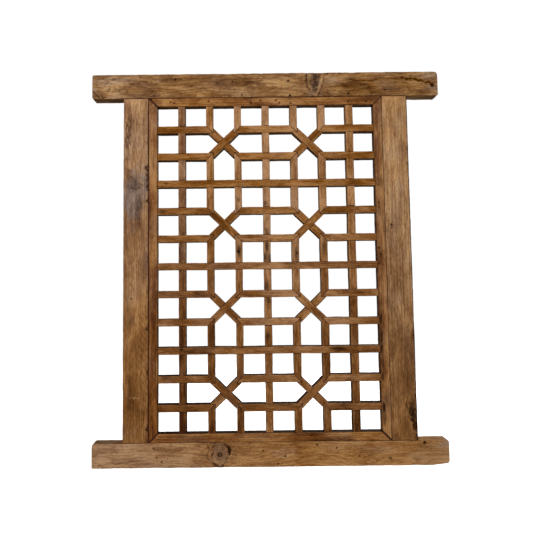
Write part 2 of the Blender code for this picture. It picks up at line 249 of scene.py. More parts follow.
WOODS = {
    "beam_wood": old_softwood("weathered fir beam", "bf9463", "8b623b", "472a14", "482810", 0.34, 5.5 * MM,
                              75 * MM, 0.18, 0.36, 0.5, 10 * MM, 0.25, 0.6, 0.78),
    "sill_wood": old_softwood("weathered fir sill", "c09161", "8d5f38", "482913", "482810", 0.34, 5.5 * MM,
                              75 * MM, 0.15, 0.31, 0.5, 10 * MM, 0.25, 0.6, 0.78),
    "stile_wood": old_softwood("weathered fir stile", "c79b6e", "916845", "523420", "533219", 0.34, 4.5 * MM,
                               130 * MM, 0.16, 0.27, 0.4, 3 * MM, 0.3, 0.5, 0.78),
    "inner_frame_wood": old_softwood("oiled pine strip", "b7844e", "83522a", "401f0c", "45240d", 0.3, 4 * MM,
                                     90 * MM, 0.2, 0.36, 0.35, 2.5 * MM, 0.25, 0.7, 0.7),
    "lattice_wood": old_softwood("oiled pine stick", "bb8a5c", "845428", "40200c", "46250e", 0.26, 4 * MM,
                                 90 * MM, 0.16, 0.3, 0.3, 2 * MM, 0.25, 0.6, 0.7),
}


# Lattice sticks

SPOKES = 32

STICK_SIZES = {
    "Length": 0.5,
    "Width": BAR_WIDTH,
    "Depth": BAR_DEPTH,
    "Arris": 1.1 * MM,
    "Ring spacing": 3 * MM,
    "Start slope": 0.0,
    "Start fork": 0.0,
    "End slope": 0.0,
    "End fork": 0.0,
    "First lap": 0.1,
    "Lap pitch": ROW_PITCH,
    "Laps": 0.0,
    "Lap width": BAR_WIDTH + 2 * JOINT_GAP,
    "Lap slant": 0.0,
    "Lap side": 1.0,
    "Wear": 1.0,
    "Seed": 0.0,
    "Turn": 0.0,
}


def worn_stick_tree():
    """A stick as a run of rings: arrises worn unevenly, ends cut to fit and half laps taken out.

    Along is X, the depth is Y with its front at the lower end, and across is Z.
    """
    tree = bpy.data.node_groups.new("worn stick", "GeometryNodeTree")
    for name in STICK_SIZES:
        tree.interface.new_socket(name=name, in_out="INPUT", socket_type="NodeSocketFloat")
    tree.interface.new_socket(name="Place", in_out="INPUT", socket_type="NodeSocketVector")
    tree.interface.new_socket(name="Wood", in_out="INPUT", socket_type="NodeSocketMaterial")
    tree.interface.new_socket(name="Geometry", in_out="OUTPUT", socket_type="NodeSocketGeometry")
    given = add(tree, "NodeGroupInput").outputs
    math_node, vector_math = "ShaderNodeMath", "ShaderNodeVectorMath"
    around = SPOKES + 1

    # A grid whose rows become the rings, three more at each end to close it
    count = add(tree, math_node, [given["Length"], given["Ring spacing"]], operation="DIVIDE")
    count = add(tree, math_node, [count], operation="CEIL")
    rings = add(tree, math_node, [count, 7.0], operation="ADD")
    grid = add(tree, "GeometryNodeMeshGrid",
               {"Size X": 1.0, "Size Y": 1.0, "Vertices X": rings, "Vertices Y": around})
    index = add(tree, "GeometryNodeInputIndex")
    ring = add(tree, math_node, [index, 0.5], operation="ADD")
    ring = add(tree, math_node, [ring, around], operation="DIVIDE")
    ring = add(tree, math_node, [ring], operation="FLOOR")
    spoke = add(tree, math_node, [ring, -around, index], operation="MULTIPLY_ADD")

    # The place of a spoke on a square, closer together near the corners
    quarter = SPOKES / 4
    side = add(tree, math_node, [spoke, 0.5], operation="ADD")
    side = add(tree, math_node, [side, quarter], operation="DIVIDE")
    side = add(tree, math_node, [side], operation="FLOOR")
    step = add(tree, math_node, [side, -quarter, spoke], operation="MULTIPLY_ADD")
    sweep = add(tree, math_node, [step, math.pi / quarter, -math.pi / 2], operation="MULTIPLY_ADD")
    sweep = add(tree, math_node, [sweep], operation="SINE")
    square = add(tree, "ShaderNodeCombineXYZ", [sweep, -1.0, 0.0])
    quarter_turn = add(tree, math_node, [side, math.pi / 2], operation="MULTIPLY")
    square = add(tree, "ShaderNodeVectorRotate", {"Vector": square, "Angle": quarter_turn}, rotation_type="Z_AXIS")

    # Rings along the length, evenly spaced
    last = add(tree, math_node, [rings, -1.0], operation="ADD")
    from_end = add(tree, math_node, [last, ring], operation="SUBTRACT")
    cap = add(tree, math_node, [ring, from_end], operation="MINIMUM")
    cap = add(tree, math_node, [cap, 3.0], operation="MINIMUM")
    body_ring = add(tree, math_node, [ring, -3.0], operation="ADD")
    body_ring = add(tree, "ShaderNodeClamp", [body_ring, 0.0, count])
    spacing = add(tree, math_node, [given["Length"], count], operation="DIVIDE")
    along = add(tree, math_node, [body_ring, spacing], operation="MULTIPLY")
    inset = add(tree, math_node, [cap, 2.5], operation="GREATER_THAN")
    inset = add(tree, math_node, [inset, 0.5 * MM], operation="MULTIPLY")
    far_inset = add(tree, math_node, [given["Length"], inset], operation="SUBTRACT")
    along = add(tree, "ShaderNodeClamp", [along, inset, far_inset])

    # Arris radius, uneven along each of the four edges
    corner = add(tree, vector_math, [square], operation="SIGN")
    along_vector = add(tree, "ShaderNodeCombineXYZ", [along, 0.0, 0.0])
    corner_place = add(tree, vector_math, [corner, (0.0, 3.1, 0.0)], operation="ADD")
    corner_place = add(tree, vector_math, [along_vector, (42.0, 0.0, 0.0), corner_place], operation="MULTIPLY_ADD")
    edge_noise = add(tree, "ShaderNodeTexNoise", {"Vector": corner_place, "W": given["Seed"], "Scale": 1.0,
                                                  "Detail": 3.0}, noise_dimensions="4D")
    worn_by = add(tree, "ShaderNodeMapRange", [edge_noise.outputs["Fac"], 0.35, 0.72, 0.45, 2.1])
    radius = add(tree, math_node, [given["Arris"], worn_by], operation="MULTIPLY")

    # The profile point, pushed in round the corner
    half = add(tree, "ShaderNodeCombineXYZ", [given["Width"], given["Depth"], 0.0])
    half = add(tree, vector_math, [half, (0.5, 0.5, 0.5)], operation="MULTIPLY")
    point = add(tree, vector_math, [square, half], operation="MULTIPLY")
    radius_vector = add(tree, "ShaderNodeCombineXYZ", [radius, radius, 0.0])
    inner = add(tree, vector_math, [half, radius_vector], operation="SUBTRACT")
    minus_inner = add(tree, vector_math, [inner, (-1.0, -1.0, -1.0)], operation="MULTIPLY")
    centre = add(tree, vector_math, [point, inner], operation="MINIMUM")
    centre = add(tree, vector_math, [centre, minus_inner], operation="MAXIMUM")
    outward = add(tree, vector_math, [point, centre], operation="SUBTRACT")
    outward = add(tree, vector_math, [outward], operation="NORMALIZE")
    profile = add(tree, vector_math, [outward, radius_vector, centre], operation="MULTIPLY_ADD")
    outward_parts = add(tree, "ShaderNodeSeparateXYZ", [outward])
    out_across = add(tree, math_node, [outward_parts.outputs[0]], operation="ABSOLUTE")
    out_depth = add(tree, math_node, [outward_parts.outputs[1]], operation="ABSOLUTE")
    cornerness = add(tree, math_node, [out_across, out_depth], operation="MAXIMUM")
    cornerness = add(tree, "ShaderNodeMapRange", [cornerness, 1.0, 0.8, 0.0, 1.0])
    cap_share = add(tree, math_node, [cap, -1 / 3, 1.0], operation="MULTIPLY_ADD")
    cap_share = add(tree, math_node, [cap_share, 2.5], operation="POWER")
    cap_share = add(tree, math_node, [1.0, cap_share], operation="SUBTRACT")
    profile = add(tree, vector_math, {0: profile, "Scale": cap_share}, operation="SCALE")
    profile = add(tree, "ShaderNodeSeparateXYZ", [profile])
    across, depth = profile.outputs[0], profile.outputs[1]

    # The nearest lap, and the ring beside each of its walls moved onto the wall
    past_first = add(tree, math_node, [along, given["First lap"]], operation="SUBTRACT")
    lap = add(tree, math_node, [past_first, given["Lap pitch"]], operation="DIVIDE")
    lap = add(tree, math_node, [lap], operation="ROUND")
    last_lap = add(tree, math_node, [given["Laps"], -1.0], operation="ADD")
    last_lap = add(tree, math_node, [last_lap, 0.0], operation="MAXIMUM")
    lap = add(tree, "ShaderNodeClamp", [lap, 0.0, last_lap])
    lap_middle = add(tree, math_node, [lap, given["Lap pitch"], given["First lap"]], operation="MULTIPLY_ADD")
    from_lap = add(tree, math_node, [along, lap_middle], operation="SUBTRACT")
    half_lap = add(tree, math_node, [given["Lap width"], 0.5], operation="MULTIPLY")
    lap_distance = add(tree, math_node, [from_lap], operation="ABSOLUTE")
    beyond = add(tree, math_node, [lap_distance, half_lap], operation="SUBTRACT")
    has_laps = add(tree, math_node, [given["Laps"], 0.5], operation="GREATER_THAN")
    in_lap = add(tree, math_node, [beyond, 0.0], operation="LESS_THAN")
    in_lap = add(tree, math_node, [in_lap, has_laps], operation="MULTIPLY")
    wall_distance = add(tree, math_node, [beyond], operation="ABSOLUTE")
    by_wall = add(tree, math_node, [wall_distance, spacing], operation="LESS_THAN")
    by_wall = add(tree, math_node, [by_wall, has_laps], operation="MULTIPLY")
    lap_sign = add(tree, math_node, [from_lap], operation="SIGN")
    wall = add(tree, math_node, [lap_sign, half_lap, lap_middle], operation="MULTIPLY_ADD")
    along = add(tree, "ShaderNodeMix", {0: by_wall, 2: along, 3: wall})
    slant_reach = add(tree, "ShaderNodeMapRange", [beyond, 0.0, 12 * MM, 1.0, 0.0])
    slant = add(tree, math_node, [across, given["Lap slant"]], operation="MULTIPLY")
    along = add(tree, math_node, [slant, slant_reach, along], operation="MULTIPLY_ADD")
    lap_face = add(tree, math_node, [depth, given["Lap side"]], operation="MULTIPLY")
    lap_face = add(tree, math_node, [lap_face, JOINT_GAP / 2], operation="MAXIMUM")
    lap_face = add(tree, math_node, [lap_face, given["Lap side"]], operation="MULTIPLY")
    depth = add(tree, "ShaderNodeMix", {0: in_lap, 2: depth, 3: lap_face})

    # Ends cut along a mitre or to a fork, eased in over the last of the length
    reach = 24 * MM
    near_start = add(tree, "ShaderNodeMapRange", [along, 0.0, reach, 1.0, 0.0])
    to_end = add(tree, math_node, [given["Length"], along], operation="SUBTRACT")
    near_end = add(tree, "ShaderNodeMapRange", [to_end, 0.0, reach, 1.0, 0.0])
    off_centre = add(tree, math_node, [across], operation="ABSOLUTE")
    start_cut = add(tree, math_node, [off_centre, given["Start fork"]], operation="MULTIPLY")
    start_cut = add(tree, math_node, [across, given["Start slope"], start_cut], operation="MULTIPLY_ADD")
    end_cut = add(tree, math_node, [off_centre, given["End fork"]], operation="MULTIPLY")
    end_cut = add(tree, math_node, [across, given["End slope"], end_cut], operation="MULTIPLY_ADD")
    cut = add(tree, math_node, [start_cut, near_start, along], operation="MULTIPLY_ADD")
    cut = add(tree, math_node, [end_cut, near_end, cut], operation="MULTIPLY_ADD")
    position = add(tree, "ShaderNodeCombineXYZ", [cut, depth, across])
    shaped = add(tree, "GeometryNodeSetPosition", {"Geometry": grid, "Position": position})

    # Attributes for the wood, stored while the rings can still be told apart
    # The depth behind the front sets the painted shade on the sides, deepening towards the back
    behind = add(tree, math_node, [given["Depth"], 0.5, depth], operation="MULTIPLY_ADD")
    back_face = add(tree, math_node, [behind, 1.0 * MM], operation="ADD")
    back_face = add(tree, math_node, [back_face, given["Depth"]], operation="GREATER_THAN")
    recess = add(tree, "ShaderNodeMix", {0: back_face, 2: behind, 3: 1.2 * MM})
    joint = add(tree, math_node, [to_end, along], operation="MINIMUM")
    to_side = add(tree, math_node, [given["Width"], 0.5], operation="MULTIPLY")
    to_side = add(tree, math_node, [to_side, off_centre], operation="SUBTRACT")
    outside_lap = add(tree, math_node, [1.0, in_lap], operation="SUBTRACT")
    to_side = add(tree, math_node, [outside_lap, 1.0, to_side], operation="MULTIPLY_ADD")
    on_cut_half = add(tree, math_node, [depth, given["Lap side"]], operation="MULTIPLY")
    on_cut_half = add(tree, math_node, [on_cut_half, 0.0], operation="LESS_THAN")
    to_lap = add(tree, "ShaderNodeMix", {0: on_cut_half, 2: to_side, 3: beyond})
    no_lap = add(tree, math_node, [1.0, has_laps], operation="SUBTRACT")
    to_lap = add(tree, math_node, [to_lap, no_lap], operation="ADD")
    joint = add(tree, math_node, [joint, to_lap], operation="MINIMUM")
    # Front arrises are paler: rubbed, and partly a painted highlight
    front = add(tree, math_node, [depth, 0.0], operation="LESS_THAN")
    worn = add(tree, math_node, [cornerness, front], operation="MULTIPLY")
    marks = add(tree, "ShaderNodeCombineXYZ", [0.0, 0.0, worn])
    for label, kind, value in ((RECESS, "FLOAT", recess), (JOINT_AND_ARRIS_SHADE, "FLOAT", joint), (MARKS, "FLOAT_VECTOR", marks)):
        shaped = add(tree, "GeometryNodeStoreNamedAttribute", {"Geometry": shaped, "Name": label, "Value": value},
                     data_type=kind, domain="POINT")

    # Seam and ends closed, then the slight bow and dents of old hand-planed wood
    closed = add(tree, "GeometryNodeMergeByDistance", {"Geometry": shaped, "Distance": 0.01 * MM})
    here = add(tree, "GeometryNodeInputPosition")
    seeded = add(tree, "ShaderNodeCombineXYZ", [given["Seed"], given["Seed"], given["Seed"]])
    dent_place = add(tree, vector_math, [here, (25.0, 90.0, 90.0), seeded], operation="MULTIPLY_ADD")
    dents = add(tree, "ShaderNodeTexNoise", {"Vector": dent_place, "Scale": 1.0, "Detail": 3.0})
    dents = add(tree, vector_math, [dents.outputs["Color"], (0.5, 0.5, 0.5)], operation="SUBTRACT")
    here_along = add(tree, "ShaderNodeSeparateXYZ", [here])
    bow_place = add(tree, math_node, [here_along, 9.0, given["Seed"]], operation="MULTIPLY_ADD")
    bow = add(tree, "ShaderNodeTexNoise", {"W": bow_place, "Scale": 1.0, "Detail": 1.0}, noise_dimensions="1D")
    bow = add(tree, vector_math, [bow.outputs["Color"], (0.5, 0.5, 0.5)], operation="SUBTRACT")
    other_way = add(tree, math_node, [given["Length"], here_along], operation="SUBTRACT")
    nearest_end = add(tree, math_node, [here_along, other_way], operation="MINIMUM")
    held = add(tree, "ShaderNodeMapRange", [nearest_end, 0.0, 40 * MM, 0.0, 1.0],
               interpolation_type="SMOOTHSTEP")
    bow = add(tree, vector_math, {0: bow, "Scale": held}, operation="SCALE")
    moved = add(tree, vector_math, [dents, (0.0, 0.9 * MM, 0.9 * MM)], operation="MULTIPLY")
    moved = add(tree, vector_math, [bow, (0.0, 0.6 * MM, 1.6 * MM), moved], operation="MULTIPLY_ADD")
    moved = add(tree, vector_math, {0: moved, "Scale": given["Wear"]}, operation="SCALE")
    bent = add(tree, "GeometryNodeSetPosition", {"Geometry": closed, "Offset": moved})

    # Growth rings cross the stick at an angle that its seed picks
    slope = add(tree, math_node, [given["Seed"], 2.4], operation="MULTIPLY")
    across_share = add(tree, math_node, [slope], operation="COSINE")
    depth_share = add(tree, math_node, [slope], operation="SINE")
    heart = add(tree, "ShaderNodeCombineXYZ", [0.0, depth_share, across_share])
    rings_at = add(tree, vector_math, [here, heart], operation="DOT_PRODUCT")
    slow = add(tree, "ShaderNodeTexNoise", {"W": bow_place, "Scale": 0.7, "Detail": 1.0}, noise_dimensions="1D")
    rings_at = add(tree, math_node, [slow.outputs["Fac"], 22 * MM, rings_at.outputs["Value"]],
                   operation="MULTIPLY_ADD")
    seeded_grain = add(tree, vector_math, [seeded, (0.71, 0.13, 0.37), here], operation="MULTIPLY_ADD")
    for label, kind, value in ((RINGS, "FLOAT", rings_at), (GRAIN, "FLOAT_VECTOR", seeded_grain)):
        bent = add(tree, "GeometryNodeStoreNamedAttribute", {"Geometry": bent, "Name": label, "Value": value},
                   data_type=kind, domain="POINT")

    # Its place in the screen
    minus_turn = add(tree, math_node, [given["Turn"], -1.0], operation="MULTIPLY")
    turned = add(tree, "ShaderNodeCombineXYZ", [0.0, minus_turn, 0.0])
    placed = add(tree, "GeometryNodeTransform", {"Geometry": bent, "Translation": given["Place"],
                                                 "Rotation": turned})
    real = add(tree, "GeometryNodeRealizeInstances", [placed])
    dressed = add(tree, "GeometryNodeSetMaterial", {"Geometry": real, "Material": given["Wood"]})
    add(tree, "NodeGroupOutput", [dressed])
    return tree


stick_tree = worn_stick_tree()
stick_inputs = {item.name: item.identifier for item in stick_tree.interface.items_tree if item.in_out == "INPUT"}


def as_plain_mesh(name, tree, values, sharp):
    """Evaluates a tree on an empty object and keeps the result as a plain mesh."""
    carrier = bpy.data.objects.new(name, bpy.data.meshes.new(name))
    bpy.context.scene.collection.objects.link(carrier)
    modifier = carrier.modifiers.new("shape", "NODES")
    modifier.node_group = tree
    for identifier, value in values.items():
        modifier[identifier] = value
    evaluated = carrier.evaluated_get(bpy.context.evaluated_depsgraph_get())
    mesh = bpy.data.meshes.new_from_object(evaluated)
    carrier.modifiers.remove(modifier)
    carrier.data = mesh
    mesh.name = name
    mesh.shade_smooth()
    mesh.set_sharp_from_angle(angle=sharp)
    return carrier


def finish_piece(piece, replaced):
    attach(piece, "root")
    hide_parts(replaced)


def make_stick(name, node, start, length, turn, seed, **sizes):
    """One lattice stick. Start is its first end's middle in X and Z, and turn is its angle from X to Z."""
    values = dict(STICK_SIZES, Length=length, Turn=turn, Seed=float(seed), **sizes)
    settings = {stick_inputs[key]: float(value) for key, value in values.items()}
    settings[stick_inputs["Place"]] = (start[0], BAR_FRONT + BAR_DEPTH / 2, start[1])
    settings[stick_inputs["Wood"]] = WOODS["lattice_wood"]
    stick = as_plain_mesh(name, stick_tree, settings, math.radians(50))
    finish_piece(stick, node)
    return stick


def post_x(index):
    """The middle of a post, counted from 1 at the left."""
    return LATTICE_LEFT + index * COLUMN_PITCH - HALF_BAR


def rail_z(index):
    """The middle of a rail, counted from 1 at the top."""
    return LATTICE_TOP - index * ROW_PITCH + HALF_BAR


# Posts are pale in the upper half and dark below, where rain splashed them
POST_FADE = ((0.0, 0.12, 0.36, 0.50, 0.75, 1.0), (0.28, 0.36, 0.42, 0.62, 0.78, 0.84))
POST_OFFSETS = (-0.26, -0.08, -0.02, 0.16, 0.04, 0.04, 0.02)
POST_GREYS = (0.3, -0.05, 0.1, 0.15, 0.1, 0.05, 0.0)

# Rails are palest right of the middle, and dark at their left ends
RAIL_FADE = ((0.0, 0.1, 0.4, 0.65, 1.0), (0.44, 0.48, 0.58, 0.68, 0.50))
RAIL_OFFSETS = (0.12, 0.06, 0.09, -0.08, 0.02, 0.06, 0.0, 0.10, -0.07, 0.04, -0.14)
RAIL_GREYS = (-0.16, -0.14, -0.16, -0.08, -0.05, 0.1, 0.0, 0.0, 0.0, 0.0, 0.0)

# Water stains and small knots on the lattice, in mm: X, Z, reach along the grain, strength
POST_STAINS = [
    (-72, -431, 26, 0.9), (-1, -419, 30, 0.9), (-4, -310, 12, 0.75), (-3, -519, 22, 0.8), (1, -556, 16, 0.9),
    (-3, -647, 14, 0.8), (-6, -449, 24, 0.85), (5, -451, 22, 0.85), (0, -430, 44, 0.5), (-3, -377, 9, 0.6),
    (0, -389, 18, 0.7), (-5, -524, 12, 0.9), (-73, -432, 8, 1.2), (75, -438, 7, 1.0), (74, -440, 24, 0.75),
    (144, -426, 28, 0.7), (-216, -250, 10, 0.6), (-216, -205, 40, 0.25), (-146, -470, 12, 0.5),
    (216, -640, 30, 0.35), (-72, -300, 9, 0.6), (146, -760, 16, 0.5),
]
RAIL_STAINS = [
    (-220, -678, 9, 0.9), (175, -680, 34, 0.95), (-267, -328, 16, 0.8), (-258, -256, 8, 0.5), (60, -462, 30, 0.45),
    (200, -760, 18, 0.5), (-262, -746, 14, 0.6), (110, -607, 12, 0.5),
]


# Faces that look up get deeper painted shade, as if they were this much deeper
TOP_FACE_SHADE = 20 * MM


def colour_stick(stick, start, turn, fade, offset, grey, stains, low, high):
    """Stores a stick's lightness by its place in the lattice, its greying, its stains and its painted shade on top
    faces.
    """
    mesh = stick.data
    places = np.empty(len(mesh.vertices) * 3, np.float32)
    mesh.vertices.foreach_get("co", places)
    places = places.reshape(-1, 3)
    axis = 2 if abs(turn) > 1 else 0
    share = (places[:, axis] - low) / (high - low)
    tone = np.interp(share, *fade) + offset
    lightness = mesh.attributes.new(TONE, "FLOAT", "POINT")
    lightness.data.foreach_set("value", tone.astype(np.float32))
    if axis == 0:
        above = (places[:, 2] - start[1]) * math.cos(turn) - (places[:, 0] - start[0]) * math.sin(turn)
        recess = np.empty(len(places), np.float32)
        mesh.attributes[RECESS].data.foreach_get("value", recess)
        # The top face of a rail or diagonal gets deeper painted shade
        recess += TOP_FACE_SHADE * (above > 0.42 * BAR_WIDTH) * (recess > 0.8 * MM)
        mesh.attributes[RECESS].data.foreach_set("value", recess)
    marks = np.empty(len(places) * 3, np.float32)
    mesh.attributes[MARKS].data.foreach_get("vector", marks)
    marks = marks.reshape(-1, 3)
    height = LATTICE_TOP - LATTICE_BOTTOM
    greyed = smooth_step(places[:, 2], LATTICE_BOTTOM + 0.3 * height, LATTICE_BOTTOM + 0.6 * height)
    marks[:, 1] = grey * greyed
    for x, z, reach, strength in stains:
        away_x, away_z = places[:, 0] - x * MM, places[:, 2] - z * MM
        along = away_x * math.cos(turn) + away_z * math.sin(turn)
        across = away_z * math.cos(turn) - away_x * math.sin(turn)
        away = np.hypot(along / (reach * MM), across / (8 * MM))
        marks[:, 0] = np.maximum(marks[:, 0], strength * (1 - smooth_step(away, 0.2, 1.0)))
    mesh.attributes[MARKS].data.foreach_set("vector", marks.ravel())


def make_rail(rail, first_post, last_post, left_turn, right_turn, node, name):
    """A rail between two posts or strips, notched behind for each post that it crosses."""
    left = LATTICE_LEFT + JOINT_GAP if left_turn == BUTT else post_x(first_post) + MITRE_SHIFT
    right = LATTICE_RIGHT - JOINT_GAP if right_turn == BUTT else post_x(last_post) - MITRE_SHIFT
    first_lap = first_post if left_turn == BUTT else first_post + 1
    last_lap = last_post if right_turn == BUTT else last_post - 1
    sizes = {
        "Start slope": left_turn,
        "End slope": -right_turn,
        "First lap": post_x(first_lap) - left,
        "Lap pitch": COLUMN_PITCH,
        "Laps": last_lap - first_lap + 1,
        "Lap side": -1,
    }
    start = (left, rail_z(rail))
    stick = make_stick(name, node, start, right - left, 0.0, 11 * rail + first_post, **sizes)
    colour_stick(stick, start, 0.0, RAIL_FADE, RAIL_OFFSETS[rail - 1], RAIL_GREYS[rail - 1], RAIL_STAINS,
                 LATTICE_LEFT, LATTICE_RIGHT)


def make_post(post, low_rail, high_rail, turn, low_mitred, high_mitred, node, name):
    """A post between two rails or strips, notched in front for each rail that crosses it."""
    low = rail_z(low_rail) + MITRE_SHIFT if low_mitred else LATTICE_BOTTOM + JOINT_GAP
    high = rail_z(high_rail) - MITRE_SHIFT if high_mitred else LATTICE_TOP - JOINT_GAP
    lowest_lap = low_rail - 1 if low_mitred else low_rail
    highest_lap = high_rail + 1 if high_mitred else high_rail
    sizes = {
        "Start slope": -turn if low_mitred else 0,
        "End slope": turn if high_mitred else 0,
        "First lap": rail_z(lowest_lap) - low,
        "Lap pitch": ROW_PITCH,
        "Laps": lowest_lap - highest_lap + 1,
        "Lap side": 1,
    }
    seed = 7 * low_rail + 31 * post
    start = (post_x(post), low)
    stick = make_stick(name, node, start, high - low, math.pi / 2, seed, **sizes)
    colour_stick(stick, start, math.pi / 2, POST_FADE, POST_OFFSETS[post - 1], POST_GREYS[post - 1], POST_STAINS,
                 LATTICE_BOTTOM, LATTICE_TOP)


def make_rails():
    for rail in range(1, ROWS):
        if rail % REPEAT == 0:
            node = f"rail_{rail:02d}"
            make_rail(rail, 1, COLUMNS - 1, BUTT, BUTT, node, node + "_stick")
            continue
        turn = UP if rail % REPEAT == 1 else DOWN
        spans = {"left": (1, 2, BUTT, turn), "middle": (3, 5, turn, turn), "right": (6, 7, turn, BUTT)}
        for side, (first, last, left_turn, right_turn) in spans.items():
            node = f"rail_{rail:02d}_{side}"
            if rail in (1, ROWS - 1):
                end = "top" if rail == 1 else "bottom"
                node = f"{end}_yoke" if side == "middle" else f"{end}_elbow_{side}"
            make_rail(rail, first, last, left_turn, right_turn, node, f"rail_{rail:02d}_{side}_stick")


def make_posts():
    for post in range(1, COLUMNS):
        if post % REPEAT == 1:
            make_post(post, ROWS - 1, 1, BUTT, False, False, f"post_{post}", f"post_{post}_stick")
            continue
        turn = LEFT if post % REPEAT == 2 else RIGHT
        end = {2: "elbow_left", 6: "elbow_right"}.get(post, "yoke")
        make_post(post, 1, 0, turn, True, False, f"top_{end}", f"post_{post}_top_stick")
        for rail, height in zip(range(REPEAT, ROWS, REPEAT), ("upper", "centre", "lower")):
            node = f"post_{post}_{height}"
            make_post(post, rail + 1, rail - 1, turn, True, True, node, node + "_stick")
        make_post(post, ROWS, ROWS - 1, turn, False, True, f"bottom_{end}", f"post_{post}_bottom_stick")


def make_diagonals():
    """Crossed pairs, half lapped, whose forked ends fit round the mitred corners."""
    diagonal = math.hypot(CELL_WIDTH, CELL_HEIGHT)
    angle = math.atan2(CELL_HEIGHT, CELL_WIDTH)
    crossing = math.pi - 2 * angle
    fork = (CELL_WIDTH / CELL_HEIGHT + CELL_HEIGHT / CELL_WIDTH) / 2
    lean = (CELL_HEIGHT / CELL_WIDTH - CELL_WIDTH / CELL_HEIGHT) / 2
    half_length = diagonal / 2 - JOINT_GAP * math.sqrt(2)
    for number, rail in enumerate(range(1, ROWS, REPEAT), start=1):
        for side, post in zip(("left", "right"), range(2, COLUMNS, REPEAT)):
            middle_x = (post_x(post) + post_x(post + 1)) / 2
            middle_z = (rail_z(rail) + rail_z(rail + 1)) / 2
            front_rise = UP if (number % 2 == 1) == (side == "left") else DOWN
            for rise in (UP, DOWN):
                turn = rise * angle
                start = (middle_x - half_length * math.cos(turn), middle_z - half_length * math.sin(turn))
                sizes = {
                    "Start slope": rise * lean,
                    "End slope": rise * lean,
                    "Start fork": -fork,
                    "End fork": fork,
                    "First lap": half_length,
                    "Laps": 1,
                    "Lap width": BAR_WIDTH / math.sin(crossing) + 2 * JOINT_GAP,
                    "Lap slant": -rise / math.tan(2 * angle),
                    "Lap side": -1 if rise == front_rise else 1,
                }
                slope = "rising" if rise == UP else "falling"
                name = f"cross_{number}_{side}_{slope}_stick"
                seed = 40 + number * 17 + post * 3 + rise
                stick = make_stick(name, f"cross_{number}_{side}", start, 2 * half_length, turn, seed, **sizes)
                offset = 0.03 * rise - 0.06
                colour_stick(stick, start, turn, RAIL_FADE, offset, -0.12, [], LATTICE_LEFT, LATTICE_RIGHT)


# Frame timbers and inner strips

NOISE_CELLS = 64

# How much closer each mitred end sits than the frame's, so that no light shows through the joint
MITRE_TIGHTENING = 0.12 * MM


def soft_noise(points, seed):
    """Smooth random values from 0 to 1 at points in space, with a new value for each unit of length."""
    cells = np.random.default_rng(seed).random((NOISE_CELLS, NOISE_CELLS, 4))
    low = np.floor(points).astype(int)
    part = points - low
    part = part * part * (3 - 2 * part)
    total = np.zeros(len(points))
    for corner in np.ndindex(2, 2, 2):
        share = np.where(np.array(corner, bool), part, 1 - part).prod(axis=1)
        place = (low + corner) % (NOISE_CELLS, NOISE_CELLS, 4)
        total += share * cells[place[:, 0], place[:, 1], place[:, 2]]
    return total


def layered_noise(points, seed, layers=3):
    """Coarse noise with finer, weaker noise on it, from about -1 to 1."""
    total = np.zeros(len(points))
    for layer in range(layers):
        total += (soft_noise(points * 2 ** layer, seed + layer) - 0.5) / 1.6 ** layer
    return total * 1.6


def spread(length, step, close):
    """Places from 0 to a length: at the close distances from both ends, and evenly between them."""
    inside = length - 2 * close[-1]
    even = np.linspace(close[-1], length - close[-1], max(2, round(inside / step) + 1))
    return np.concatenate([close[:-1], even, length - close[-2::-1]])


def smooth_step(values, low, high):
    share = np.clip((values - low) / (high - low), 0, 1)
    return share * share * (3 - 2 * share)


def distance_to_line(along, across, points):
    """Distance to a line through points, which are given in mm."""
    nearest = np.full(len(along), 1e9)
    points = [(a * MM, b * MM) for a, b in points]
    for (a0, b0), (a1, b1) in zip(points, points[1:]):
        length = math.hypot(a1 - a0, b1 - b0)
        reached = np.clip(((along - a0) * (a1 - a0) + (across - b0) * (b1 - b0)) / length ** 2, 0, 1)
        away = np.hypot(along - a0 - reached * (a1 - a0), across - b0 - reached * (b1 - b0))
        nearest = np.minimum(nearest, away)
    return nearest


